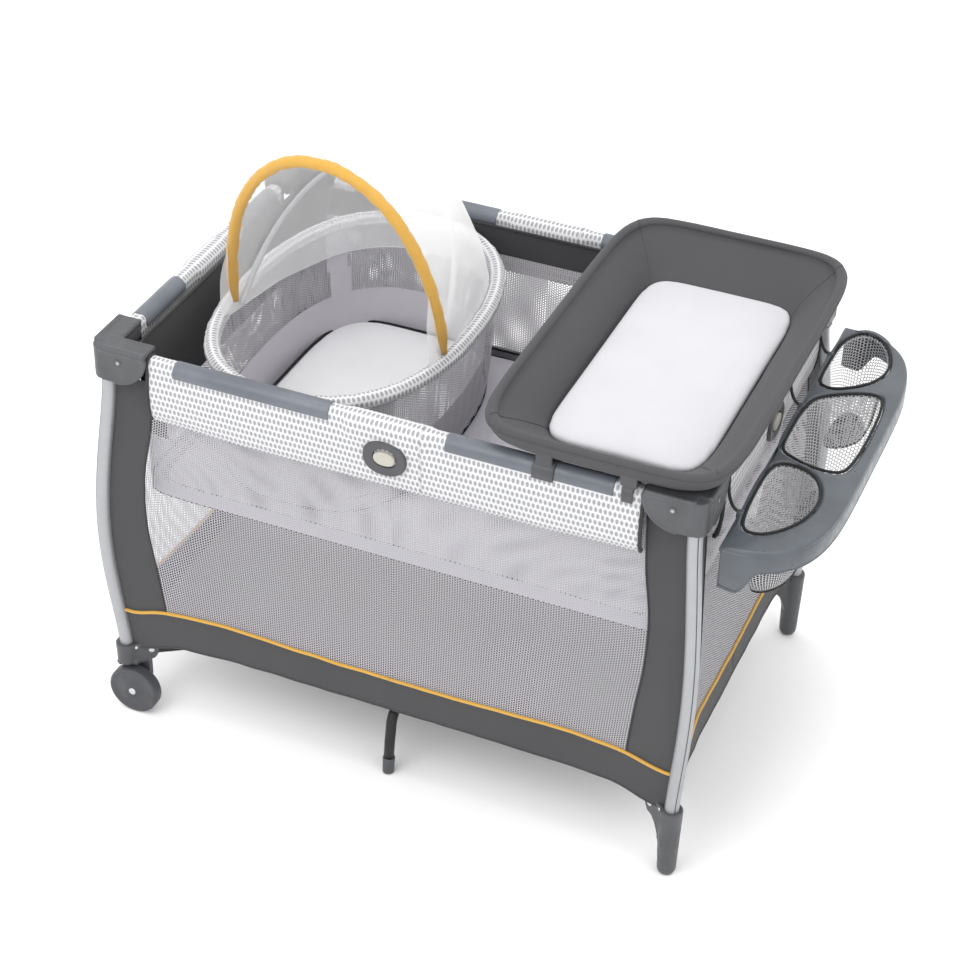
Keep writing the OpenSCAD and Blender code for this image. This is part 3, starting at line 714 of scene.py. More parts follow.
def pins():
    """The pins, screws and rivet heads of each corner, and the axles of the two wheels."""
    side = Vector((-strut_dir.y, strut_dir.x, 0))
    at_foot = Vector((foot_pivot[0], foot_pivot[1], strut_z))
    parts = []
    second = at_foot + strut_dir * 26 + Vector((0, 0, 8))
    for s in (1, -1):
        parts.append(rivet("r", at_foot + side * (s * 12.6), side * s, 5.0))
        parts.append(rivet("r", second + side * (s * 12.6), side * s, 3.6))
    screws = [rivet("r", (pivot_x, leg_y + cap_r + 0.2, rail_z), (0, 1, 0), 6.0, 1.2, "groove"),
              rivet("r", (pivot_x, leg_y + cap_r + 0.9, rail_z), (0, 1, 0), 3.2, 0.9, "leg"),
              rivet("r", (leg_x + cap_r + 0.2, pivot_y, rail_z), (1, 0, 0), 6.0, 1.2, "groove"),
              rivet("r", (leg_x + cap_r + 0.9, pivot_y, rail_z), (1, 0, 0), 3.2, 0.9, "leg")]
    shafts = [rod((pivot_x, leg_y - cap_r + 2, rail_z), (pivot_x, leg_y + cap_r, rail_z), 4),
              rod((leg_x - cap_r + 2, pivot_y, rail_z), (leg_x + cap_r, pivot_y, rail_z), 4),
              rod(at_foot - side * 12, at_foot + side * 12, 4)]
    for points, faces in shafts:
        mesh = bpy.data.meshes.new("shaft")
        mesh.from_pydata(put(points), [], faces)
        parts.append(new_object("shaft", mesh, [MAT["bright"]]))
    made = join("pins_br", parts + screws)
    for corner, (sx, sy) in CORNERS.items():
        at_corner(corner, made, "pin_steel", "corner_pins_")
        if sx < 0:
            centre = (-wheel_x, sy * (leg_foot[1] + 20.4), wheel_z)
            axle = rivet("axle_" + corner, centre, (0, sy, 0), 6.5, 1.6)
            declare(axle, "leg_" + corner, "pin_steel")


def along_strut(u, v, w):
    """From a foot towards the hub, up from the strut pivot, and across."""
    side = Vector((-strut_dir.y, strut_dir.x))
    x = leg_foot[0] - strut_dir.x * u + side.x * w
    y = leg_foot[1] - strut_dir.y * u + side.y * w
    return (x, y, strut_z + v)


def wing_solids(lowest):
    """The two ears of a foot that hold a strut, with a web below them."""
    curve = [(46 - 34 * math.sin(q), -18 - 74 * (1 - math.cos(q)))
             for q in (math.radians(9 * k) for k in range(11))]
    curve = [(u, max(v, lowest)) for u, v in curve]
    ears = [(0, lowest), (0, 16), (40, 14), (49, 10), (53, 2), (52, -9)]
    solids = []
    for s in (-1, 1):
        w0, w1 = sorted((s * 7.7, s * 12.4))
        solids.append(prism(ears + curve, w0, w1, along_strut))
    web = [(0, lowest), (0, -20), (44, -20)] + curve
    solids.append(prism(web, -12, 12, along_strut))
    return solids


def foot():
    """The two right feet."""
    x, y = leg_foot
    solids = [rod((x, y, 8), (x, y, 136), 15.5, 18.6),
              rod((x, y, 1.2), (x, y, 9), 12.0, 15.4),
              *wing_solids(-92)]
    made = moulded("foot_br", solids, MAT["foot"], voxel=1.8, rounds=7)
    at_corners(made, "foot_plastic", "foot_", ("fr", "br"))


def wheel_bracket():
    """The two left feet, with a guard over each wheel. They are drawn at the back right first."""
    x, y = leg_foot
    wx = x - 15
    solids = [rod((x, y, 96), (x, y, 137), 17.6, 19.0), *wing_solids(-27),
              block((wx - 20, y - 21, 62), (x + 6, y - 9, 110)),
              rod((wx, y - 21, wheel_z + 5), (wx, y - 10, wheel_z + 5), 21),
              rod((wx, y - 12, wheel_z), (wx, y - 5.4, wheel_z), 10)]
    arch = [(wx + 53 * math.cos(q), y + 2, wheel_z + 53 * math.sin(q)) for q in
            (math.radians(52 + 9 * k) for k in range(6))]
    solids.append(bar(arch, 6.5))
    made = moulded("wheel_bracket_br", solids, MAT["foot"], voxel=1.8, rounds=6)
    at_corners(made, "foot_plastic", "wheel_bracket_", ("fl", "bl"))
    bpy.data.objects.remove(made)


def wheel():
    """A turned wheel: hub boss, dished face, raised rim and a flat tread."""
    r = wheel_z
    y0, y1 = leg_foot[1] - 4, leg_foot[1] + 20
    face = [(4.2, y1 + 0.2), (9, y1 + 0.2), (10, y1 - 1.2), (30, y1 - 2.6), (37.5, y1 - 2.6), (39, y1 - 0.6),
            (40.5, y1), (42.6, y1 - 0.4), (44.2, y1 - 2.2), (r, y1 - 4.2)]
    other = [(r, y0 + 4.2), (44.2, y0 + 2.2), (42.6, y0 + 0.4), (40.5, y0), (39, y0 + 1), (37, y0 + 3),
             (12, y0 + 3), (10, y0), (4.2, y0)]
    for corner in ("fl", "bl"):
        sy = CORNERS[corner][1]
        rows = []
        for radius, y in face + other:
            ring = []
            for k in range(72):
                q = 2 * math.pi * k / 72 * (-sy)
                ring.append((-wheel_x + radius * math.cos(q), sy * y, wheel_z + radius * math.sin(q)))
            rows.append(ring)
        piece = grid("wheel_tyre_" + corner, rows, [MAT["wheel"]], across=True)
        declare(piece, "wheel_" + corner, "wheel_rubber", "wheel_" + corner)


# ---- Floor frame ----

def middle_legs():
    """The two bent legs under the hub, each with a moulded tip."""
    bend = 26
    for name, s in (("front", -1), ("back", 1)):
        low, high = box("mid_leg_" + name)
        reach = max(abs(low[1]), abs(high[1])) - 9
        x = 12 * s
        start = 56
        z = 118
        path = [(x, s * (start + 6), z)]
        path += [(x, s * (reach - 12 - bend * (1 - math.sin(q))), z - bend * (1 - math.cos(q)))
                 for q in (math.radians(7.5 * k) for k in range(11))]
        path += [(x, s * (reach - 6), 60), (x, s * reach, 12)]
        leg = tube("mid_leg_tube_" + name, path, 8.8, MAT["dark_steel"], sides=28)
        tip = moulded("tip", [rod((x, s * reach, 1.4), (x, s * (reach - 3), 32), 9.6, 10.6)],
                      MAT["foot"], voxel=1.3, rounds=3)
        eye = moulded("eye", [rod((x - 9, s * start, z), (x + 9, s * start, z), 10)],
                      MAT["dark_steel"], voxel=1.3, rounds=2)
        piece = join("mid_leg_tube_" + name, [leg, tip, eye])
        declare(piece, "mid_leg_" + name, "dark_steel", "mid_leg_" + name)


def carried_over():
    """CAD parts whose own shape stays, with their finishes."""
    finishes = {"strut_": "dark_steel", "center_hub": "foot", "rail_": "leg", "insert_bars": "dark_steel"}
    for name, obj in frame["nodes"].items():
        for start, finish in finishes.items():
            if name.startswith(start):
                for slot in obj.material_slots:
                    slot.material = MAT[finish]


# ---- Rails: cloth sleeves, clips and latches ----

def section(near_latch, end):
    """A sleeve's cross-section, (out, up) from the inner hem over the rail to the outer hem."""
    r = 12.9 + 4.7 * near_latch
    lift = 13.4 + 1.0 * near_latch
    drop = band_drop - 5 * end
    over = []
    for k in range(13):
        q = math.radians(195 - 17.5 * k)
        over.append((r * spow(math.cos(q), 0.8), lift * spow(math.sin(q), 0.8)))
    inner = [(-11.0, -62), (-12.2, -40), (-r, -18)]
    outer = [(r + 0.8, -18), (15.8, -36), (15.4, -60), (13.6, -82), (10.4, -drop + 5), (7.6, -drop),
             (3.0, -drop + 1.0)]
    return inner + over + outer


def sleeve_rows(u0, u1, half):
    """Cross-sections from u0 to u1 along a rail, as rows of (u, out, up)."""
    n = max(2, round(abs(u1 - u0) / 7))
    rows = []
    for k in range(n + 1):
        u = mix(u0, u1, k / n)
        near = 1 - smooth(half + 14, half + 32, abs(u))
        end = smooth(0.55, 1.0, abs(u) / (half + 360))
        row = []
        for out, up in section(near, end):
            loose = smooth(-12, -55, up)
            fold = 0.8 * ripple((u, out, up), 26) + 1.0 * loose * ripple((u, out, up), 48, 7.7)
            row.append((u, out + fold * (1 if out > 0 else -0.3), up + 0.25 * fold))
        rows.append(row)
    return rows


class Side:
    """One side of the yard: u runs along its rail, out is away from the middle."""

    def __init__(self, name, long, sign, halves, latch):
        self.name = name
        self.long = long
        self.sign = sign
        self.halves = halves
        self.latch = latch
        self.leg_gap = leg_y if long else leg_x
        self.half = latch_half_x if long else latch_half_y
        self.reach = 403 if long else 245
        self.wall = 317 if long else 476

    def at(self, u, out, z):
        if self.long:
            return (u, self.sign * (self.leg_gap + out), z)
        return (self.sign * (self.leg_gap + out), u, z)


SIDES = [
    Side("front", True, -1, ("rail_front_l", "rail_front_r"), "latch_front"),
    Side("back", True, 1, ("rail_back_l", "rail_back_r"), "latch_back"),
    Side("left", False, -1, ("rail_left_f", "rail_left_b"), "latch_left"),
    Side("right", False, 1, ("rail_right_f", "rail_right_b"), "latch_right"),
]


def sleeves():
    """The printed cloth over each rail, in two pieces that meet beside the latch."""
    for side in SIDES:
        join_u = side.half + 12
        for which, body in enumerate(side.halves):
            u0, u1 = (-side.reach, join_u) if which == 0 else (join_u, side.reach)
            rows = sleeve_rows(u0, u1, side.half)
            placed = [[side.at(u, out, rail_z + up) for u, out, up in row] for row in rows]
            piece = grid(f"sleeve_{body}", placed, [MAT["print"]])
            end_row = placed[0] if which == 0 else placed[-1]
            welt = tube(f"welt_{body}", end_row[2:], 3.0, MAT["binding"], sides=12)
            hem = tube(f"hem_{body}", [r[-2] for r in placed], 1.5, MAT["print"], sides=8)
            thicken(piece, 0.8)
            declare(welt, body, "dark_fabric")
            if which == 1:
                declare(piece, body, "print_fabric")
                declare(hem, body, "print_fabric")
                continue
            start, end = put([side.at(u, 0, rail_z) for u in (-side.half - 22, -side.half + 10)])
            for part in (piece, hem):
                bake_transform(part)
                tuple(start)
                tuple(end)


def clip_section():
    """Outline of a rail clip's cross-section, (out, up): a thin half tube with rolled lips."""
    turns = [math.radians(15 * k) for k in range(13)]
    outer = [(clip_r1 * math.cos(q), clip_r1 * math.sin(q)) for q in turns]
    inner = [(-clip_r0 * math.cos(q), clip_r0 * math.sin(q)) for q in turns]
    return ([(clip_r1 - 0.4, -6), (clip_r1, -3)] + outer + [(-clip_r1, -3), (-clip_r1 + 0.4, -6)]
            + [(-clip_r0 - 0.4, -6.6), (-clip_r0, -3)] + inner + [(clip_r0, -3), (clip_r0 + 0.4, -6.6)])


def clips():
    """The moulded clips that hold the insert on the rails."""
    parts = []
    outline = clip_section()
    for side in SIDES:
        low, high = (95, 358) if side.long else (100, 222)
        for s in (-1, 1):
            rows = []
            for u, share in ((low, 0.985), (low + 1.5, 1.0), (high - 1.5, 1.0), (high, 0.985)):
                rows.append([side.at(s * u, o * share, rail_z + v * share) for o, v in outline])
            clip = grid("clip", rows, [MAT["clip"]], across=True)
            cap_ends(clip, len(rows), len(outline))
            parts.append(smooth_faces(clip))
    piece = join("rail_clips", parts)
    bevel_edges(piece)
    declare(piece, "insert", "clip_plastic", "insert_clips")


def bevel_edges(obj):
    """Rounds an object's sharp edges."""
    bm = bmesh.new()
    bm.from_mesh(obj.data)
    bmesh.ops.recalc_face_normals(bm, faces=bm.faces[:])
    bm.to_mesh(obj.data)
    bm.free()
    m = obj.modifiers.new("edges", "BEVEL")
    m.width = 0.5 * MM
    m.segments = 2
    m.limit_method = "ANGLE"
    m.angle_limit = math.radians(40)
    return settle(obj)


def dome_rows(side, centre_z, a, b, levels):
    """Rings of an oval boss that faces outward. levels are (share of size, out)."""
    rows = []
    for share, out in levels:
        ring = []
        for k in range(64):
            x, z = superellipse(a * share, b * share, 2.25, 2 * math.pi * k / 64)
            ring.append(side.at(x, out, centre_z + z))
        rows.append(ring)
    return rows


def latches():
    """The oval latch in the middle of each rail, with its push button."""
    for side in SIDES:
        z = rail_z - 45
        half = side.half
        low_z, high_z = rail_z - 17, rail_z + 8
        corners = [side.at(-half - 12, -13.5, low_z), side.at(half + 12, 13.5, high_z)]
        low = [min(p[d] for p in corners) for d in range(3)]
        high = [max(p[d] for p in corners) for d in range(3)]
        housing = moulded("housing", [block(low, high)], MAT["latch"], voxel=2.2, rounds=3)
        plate = grid("plate", dome_rows(side, z, 35.5, 29.5, (
            (0.97, 8.0), (1.0, 17.0), (1.0, 19.6), (0.985, 21.2), (0.95, 22.0), (0.86, 21.4), (0.62, 20.2),
            (0.56, 20.0), (0.535, 19.0), (0.53, 12.0), (0.01, 12.0))), [MAT["latch"]], across=True)
        piece = join("latch_housing_" + side.name, [housing, plate])
        declare(piece, side.latch, "cap_plastic", side.latch)
        button = grid("push_button_" + side.name, dome_rows(side, z, 18.0, 12.0, (
            (0.98, 13.0), (0.985, 20.0), (0.97, 21.6), (0.92, 22.6), (0.8, 23.0), (0.55, 22.7), (0.3, 22.45),
            (0.01, 22.4))), [MAT["button"]], across=True)
        name = side.latch.replace("latch", "button")
        declare(button, name, "button_plastic", name)


# ---- Side walls ----

def wall_edge(side, z):
    """How far from a side's middle its wall ends, beside the leg."""
    gap = leg_x if side.long else leg_y
    return gap + leg_offset(z) - tube_r + 2.5


MESH_LOW, MESH_HIGH = 233, 679


def strip_edge(side, z):
    """How far from a side's middle the mesh ends and the solid side strip begins."""
    long_edge = [[406], [415], [425], [425], [412], [407]]
    short_edge = [[262], [268], [272], [270], [262], [258]]
    t = (max(z, MESH_LOW) - MESH_LOW) / (MESH_HIGH - MESH_LOW)
    return float(through(long_edge if side.long else short_edge, t)[0])


def piping_z(s):
    """Height of the yellow piping at a share of the way from a side's middle to its leg."""
    return 218 + 8 * smooth(0.15, 0.8, s) - 15 * smooth(0.84, 1.0, s)


def bottom_z(s):
    """Height of the bottom band's lower edge at the same place."""
    return 153 - 2 * s * s - 22 * smooth(0.8, 1.0, s)


MESH_COLS, STRIP_COLS, LOW_ROWS, HIGH_ROWS = 26, 10, 7, 40
WALL_TOP = 676.0


def wall_rows(side, s):
    """Half a wall: rows from its lower edge to its top, each from the side's middle to the leg."""
    total = leg_x if side.long else leg_y
    rows = []
    for i in range(LOW_ROWS + HIGH_ROWS + 1):
        row = []
        for j in range(MESH_COLS + STRIP_COLS + 1):
            if j <= MESH_COLS:
                share = j / MESH_COLS
                col = lambda z: strip_edge(side, z) * share
            else:
                share = (j - MESH_COLS) / STRIP_COLS
                col = lambda z: mix(strip_edge(side, z), wall_edge(side, z), share)
            near = col(300.0) / total
            if i <= LOW_ROWS:
                z = mix(bottom_z(near), piping_z(near), i / LOW_ROWS)
            else:
                z = mix(piping_z(near), WALL_TOP, (i - LOW_ROWS) / HIGH_ROWS)
            u = col(z)
            wrap = smooth(0.55, 1.0, u / total)
            out = side.wall - side.leg_gap + wrap * (leg_offset(z) + 3.0)
            sag = 5.0 * math.sin(math.pi * smooth(150, 680, z)) * (1 - (u / total) ** 2)
            solid = j > MESH_COLS or i <= LOW_ROWS
            fold = (1.5 if solid else 0.7) * ripple((u, z * 0.4, side.wall * s), 40, 3.1)
            row.append(side.at(s * u, out - sag + fold, z))
        rows.append(row)
    return rows


def walls():
    """Each side's cloth in two halves: mesh, a solid strip beside the leg and a bottom band."""
    for side in SIDES:
        for s in (-1, 1):
            sx, sy = (s, side.sign) if side.long else (side.sign, s)
            corner = ("f" if sy < 0 else "b") + ("l" if sx < 0 else "r")
            total = leg_x if side.long else leg_y
            rows = wall_rows(side, s)

            def kind(i, j):
                return 1 if i < LOW_ROWS or j >= MESH_COLS else 0

            name = f"{side.name}_{corner}"
            wall = grid(f"wall_{name}", rows, [MAT["side_mesh"], MAT["dark"]], kind=kind)
            out = np.array(side.at(0, 1, 0)) - np.array(side.at(0, 0, 0))
            pipe_path = [tuple(np.array(p) + out * 2.2) for p in rows[LOW_ROWS]]
            pipe = tube(f"piping_{name}", pipe_path, 2.9, MAT["yellow"], sides=12)
            edge = tube(f"hem_{name}", rows[0], 1.6, MAT["dark"], sides=8)
            seam_path = [tuple(np.array(r[MESH_COLS]) + out * 0.5) for r in rows[LOW_ROWS:]]
            seam = tube(f"seam_{name}", seam_path, 1.5, MAT["binding"], sides=8)
            anchor = put([side.at(s * total, 0, 400)])[0]
            for part, slot in ((wall, "mesh_fabric"), (pipe, "bow_fabric"), (edge, "dark_fabric"),
                               (seam, "dark_fabric")):
                declare(part, "leg_" + corner, slot)
                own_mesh(part)
                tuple(anchor)
            if side.long:
                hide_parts("side_fabric_" + corner)


def floor():
    """The yard's own floor, in four quarters, each riding on its corner's strut."""
    floor_level = 158
    for corner, (sx, sy) in CORNERS.items():
        rows = []
        for i in range(21):
            row = []
            for j in range(31):
                x, y = (leg_x - 6) * j / 30, (leg_y - 6) * i / 20
                sag = 3 * math.sin(math.pi * i / 20) * math.sin(math.pi * j / 30)
                z = floor_level + 2.0 * ripple((x * sx, y * sy, 0), 90) - sag
                row.append((sx * x, sy * y, z))
            rows.append(row)
        piece = grid("floor_" + corner, rows, [MAT["floor_cloth"]])
        declare(piece, "strut_" + corner, "dark_fabric")
        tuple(put([(sx * leg_x, sy * leg_y, floor_level)])[0])
        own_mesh(piece)


# ---- Insert ----

def insert():
    """The raised insert: a ring of wall cloth hung from the rail clips, and its floor."""
    low, high = box("insert_shell")
    a, b = (high[0] - low[0]) / 2, (high[1] - low[1]) / 2
    z0, z1 = low[2] + 4, rail_z - 3
    n = 200
    levels = [z0, z0 + 8, z0 + 16] + [mix(z0 + 26, z1, k / 22) for k in range(23)]
    rows = []
    for z in levels:
        grow = 5.5 * smooth(z0 + 40, z1, z)
        rows.append([(x, y, z) for x, y in rounded(0, 0, a - 1 + grow, b - 1 + grow, 22, n)])
    angles = rounded(0, 0, a, b, 22, n)

    def kind(i, j):
        z = (levels[i] + levels[i + 1]) / 2
        x, y = angles[j]
        end_wall = abs(x) > a - 12
        corner = abs(x) > a - 50 and abs(y) > b - 40
        dark_from = 560 if end_wall or corner else 652
        if z > dark_from:
            return 1
        return 2 if z < z0 + 22 else 0

    cloths = [MAT["inner_mesh"], MAT["dark"], MAT["lavender"]]
    wall = grid("insert_wall", rows, cloths, across=True, kind=kind)
    base = []
    for share in (1.0, 0.85, 0.6, 0.3, 0.02):
        base.append([(x * share, y * share, low[2] + 1.5) for x, y in rounded(0, 0, a - 1, b - 1, 22, n)])
    under = grid("insert_floor", base, [MAT["dark"]], across=True)
    low_ring = [(x, y, z0 + 21) for x, y in rounded(0, 0, a - 3, b - 3, 22, 240)]
    pipe = tube("insert_piping", low_ring, 1.8, MAT["black"], sides=8, closed=True)
    top_ring = [(x, y, z1 - 2) for x, y in rounded(0, 0, a + 3, b + 3, 22, 240)]
    bind = tube("insert_binding", top_ring, 2.4, MAT["binding"], sides=8, closed=True)
    declare(wall, "insert", "mesh_fabric", "insert_shell")
    for part in (under, pipe, bind):
        declare(part, "insert", "dark_fabric")


def slab(name, cx, a, b, p, z0, z1, material, n, crown, edge=8.0, seams=()):
    """A flat pad: a rounded outline, rounded edges, a crowned top and sewn cross seams."""
    rows = []
    radius = min(edge, (z1 - z0) / 2)
    turns = [math.radians(15 * k) for k in range(7)]
    sides = [(radius * (1 - math.sin(q)), z0 + radius * (1 - math.cos(q))) for q in turns]
    sides += [(radius * (1 - math.cos(q)), z1 - radius * (1 - math.sin(q))) for q in turns]
    for share in (0.001, 0.5):
        rows.append([(x, y, z0) for x, y in rounded(cx, 0, a * share, b * share, p, n)])
    for d, z in sides:
        rows.append([(x, y, z) for x, y in rounded(cx, 0, a - d, b - d, p, n)])
    steps = 14
    for k in range(1, steps + 1):
        share = 1 - 0.9995 * k / steps
        height = crown * (1 - share ** 4)
        ring = []
        for x, y in rounded(cx, 0, (a - radius) * share, (b - radius) * share, p, n):
            dip = sum(6 * math.exp(-((x - cx - s) / 9.0) ** 2) for s in seams)
            wave = 0.7 * ripple((x, y, z1), 75, 5.0)
            ring.append((x, y, z1 + height - dip + wave))
        rows.append(ring)
    return grid(name, rows, [material], across=True)


def puffed(obj, voxel):
    """Fills a pad by cloth simulation under a light pressure, with a limit on each point's move."""
    pressure, limit, frames = 1.5, 4.0, 10
    remesh = obj.modifiers.new("even", "REMESH")
    remesh.mode = "VOXEL"
    remesh.voxel_size = voxel * MM
    settle(obj)
    before = points_of(obj.data)
    simulated = obj.modifiers.new("fill", "CLOTH")
    s = simulated.settings
    s.use_pressure = True
    s.uniform_pressure_force = pressure
    s.effector_weights.gravity = 0
    s.quality = 4
    s.tension_stiffness = 25
    s.compression_stiffness = 25
    s.shear_stiffness = 12
    s.bending_stiffness = 1.5
    scene = bpy.context.scene
    scene.frame_start, scene.frame_end = 1, frames
    simulated.point_cache.frame_start = 1
    simulated.point_cache.frame_end = frames
    for f in range(1, frames + 1):
        scene.frame_set(f)
    settle(obj)
    move = points_of(obj.data) - before
    length = np.linalg.norm(move, axis=1, keepdims=True)
    move *= np.minimum(1.0, limit * MM / np.maximum(length, 1e-9))
    obj.data.vertices.foreach_set("co", (before + move).reshape(-1))
    scene.frame_set(1)
    smooth_faces(obj)
    smooth_it = obj.modifiers.new("smooth", "SMOOTH")
    smooth_it.iterations = 3
    return settle(obj)


def edge_piping(name, cx, a, b, p, z, r):
    ring = [(x, y, z) for x, y in rounded(cx, 0, a, b, p, 200)]
    return tube(name, ring, r, MAT["black"], sides=10, closed=True)


def insert_mattress():
    """The folding mattress: four padded panels with sewn folds between them."""
    low, high = box("mattress")
    a, b = (high[0] - low[0]) / 2, (high[1] - low[1]) / 2
    pad = slab("mattress_pad", 0, a, b, 20, low[2], high[2] - 2, MAT["mattress"], 260, crown=2.5,
               seams=(-a / 2, 0, a / 2))
    pad = puffed(pad, 6.5)
    pipe = edge_piping("mattress_piping", 0, a - 1, b - 1, 20, high[2] - 6, 1.9)
    declare(pad, "insert", "lavender_fabric", "mattress")
    declare(pipe, "insert", "dark_fabric")


# ---- Portable bassinet ----

rim_low, rim_high = box("bassinet_shell")
rim_a = (rim_high[0] - rim_low[0]) / 2 - 3
rim_b = (rim_high[1] - rim_low[1]) / 2 + 10
rim_z = rim_high[2] + 3
rim_dip = 4
rim_x = bassinet_x - 6
RIM_POWER = 2.35
floor_z = rim_low[2]


def rim_drop(y):
    """How far the rim lies below its ends at a place along its length."""
    return rim_dip * (1 - min(abs(y) / rim_b, 1) ** 2)


def bassinet():
    """The padded rim, the mesh wall with its solid lower part, the outer skirt and the base."""
    n = 220
    path = [(x, y, rim_z - rim_drop(y)) for x, y in rounded(rim_x, 0, rim_a, rim_b, RIM_POWER, n)]

    def size(i, a):
        p = path[i % n]
        gathers = 0.55 * math.sin(i * 1.9 + 2.5 * math.sin(i * 0.37))
        return 12.8 + gathers + 1.3 * ripple((p[0], p[1], 40 * a), 30, 1.7)

    rim = tube("bassinet_rim_pad", path, size, MAT["print"], sides=28, closed=True)
    below = [(x, y, rim_z - rim_drop(y) - 11) for x, y in
             rounded(rim_x, 0, rim_a + 5, rim_b + 5, RIM_POWER, n)]
    seam = tube("bassinet_rim_seam", below, 1.0, MAT["print"], sides=8, closed=True)

    levels = 26
    inner, outer = [], []
    for i in range(levels + 1):
        t = i / levels
        z = mix(floor_z + 3, rim_z - 6, t)
        lean = mix(1.0, 0.0, t ** 0.8)
        power = RIM_POWER + 0.4 * lean
        inside = rounded(rim_x, 0, rim_a - 9 - 22 * lean, rim_b - 9 - 24 * lean, power, n)
        outside = rounded(rim_x, 0, rim_a + 2 - 24 * lean, rim_b + 2 - 26 * lean, power, n)
        inner.append([(x, y, z - t * rim_drop(y)) for x, y in inside])
        ring = []
        for k, (x, y) in enumerate(outside):
            pleat = (1.8 + 1.4 * (1 - t)) * abs(math.sin(math.pi * k / 5.0)) - 1.5
            d = Vector((x - rim_x, y)).normalized()
            ring.append((x + d.x * pleat, y + d.y * pleat, z - t * rim_drop(y)))
        outer.append(ring)

    def inner_kind(i, j):
        x, y = inner[i][j][0] - rim_x, inner[i][j][1]
        strip = abs(abs(y) - rim_b * 0.72) < 17
        return 1 if i < levels * 0.40 or (strip and abs(x) > rim_a * 0.4) else 0

    wall = grid("bassinet_wall", inner, [MAT["side_mesh"], MAT["lavender"]], across=True, kind=inner_kind)
    skirt = grid("bassinet_skirt", outer, [MAT["inner_mesh"]], across=True)
    base = [[(rim_x + (x - rim_x) * s, y * s, floor_z + 3.2) for x, y, z in inner[0]]
            for s in (1.0, 0.9, 0.6, 0.3, 0.02)]
    under = grid("bassinet_floor", base, [MAT["lavender"]], across=True)
    low_pipe = edge_piping("bassinet_piping", rim_x, rim_a - 21.5, rim_b - 23.5, RIM_POWER + 0.4,
                           floor_z + 4, 2.3)
    declare(rim, "bassinet", "print_fabric", "bassinet_rim")
    declare(seam, "bassinet", "print_fabric")
    declare(wall, "bassinet", "mesh_fabric", "bassinet_shell")
    declare(skirt, "bassinet", "mesh_fabric")
    declare(under, "bassinet", "lavender_fabric")
    declare(low_pipe, "bassinet", "dark_fabric")


def bassinet_mattress():
    low, high = box("bassinet_mattress")
    a, b = (high[0] - low[0]) / 2 + 4, (high[1] - low[1]) / 2 + 4
    pad = slab("bassinet_pad", rim_x, a, b, 4.4, low[2], high[2] - 2, MAT["white_mattress"], 160, crown=3)
    pad = puffed(pad, 5.0)
    pipe = edge_piping("bassinet_pad_piping", rim_x, a + 0.5, b + 0.5, 4.4, high[2] - 5, 2.4)
    declare(pad, "bassinet", "pad_fabric", "bassinet_mattress")
    declare(pipe, "bassinet", "dark_fabric")


bow_low, bow_high = box("canopy_front_bow")
BOW_HALF = (bow_high[0] - bow_low[0]) / 2 - 9
BOW_LEAN = math.radians(11)
BOW_H = (bow_high[2] - 8 - bow_z) / math.cos(BOW_LEAN)
REAR_LEAN = math.radians(45)


def arch(half, h, lean, t):
    """A point of a bow that stands on the two pivots, t from 0 at the right to pi at the left."""
    up = h * math.sin(t) ** 0.95
    x = bassinet_x + 3 + half * spow(math.cos(t), 0.95)
    return (x, bow_y - up * math.sin(lean), bow_z + up * math.cos(lean))


def bows():
    """The padded front bow and the thin rear bow."""
    n = 120
    path = [arch(BOW_HALF, BOW_H, BOW_LEAN, math.pi * (0.004 + 0.992 * k / n)) for k in range(n + 1)]

    def size(i, a):
        p = path[i]
        pinch = 0.9 * abs(math.sin(i * 0.83 + 1.5 * math.sin(i * 0.21))) ** 3
        end = 0.55 + 0.45 * smooth(0, 5, min(i, n - i))
        return end * (9.8 - pinch + 1.2 * ripple((p[0], p[2], 30 * a), 26, 4.2))

    front = tube("canopy_bow_sleeve", path, size, MAT["bow"], sides=24)
    seam_path = [(x, y + 7.4, z - 3.5) for x, y, z in path[6:-6]]
    seam = tube("canopy_bow_seam", seam_path, 1.0, MAT["yellow"], sides=8)
    declare(front, "front_bow", "bow_fabric", "canopy_front_bow")
    declare(seam, "front_bow", "bow_fabric")
    rear_low, rear_high = box("canopy_rear_bow")
    half = (rear_high[0] - rear_low[0]) / 2 - 5
    rear_h = (rear_high[2] - 4 - bow_z) / math.cos(REAR_LEAN)
    rear_path = [arch(half, rear_h, -REAR_LEAN, math.pi * k / 80) for k in range(81)]
    rear = tube("canopy_rear_sleeve", rear_path, 5.0, MAT["pad"], sides=16)
    declare(rear, "rear_bow", "canopy_fabric", "canopy_rear_bow")


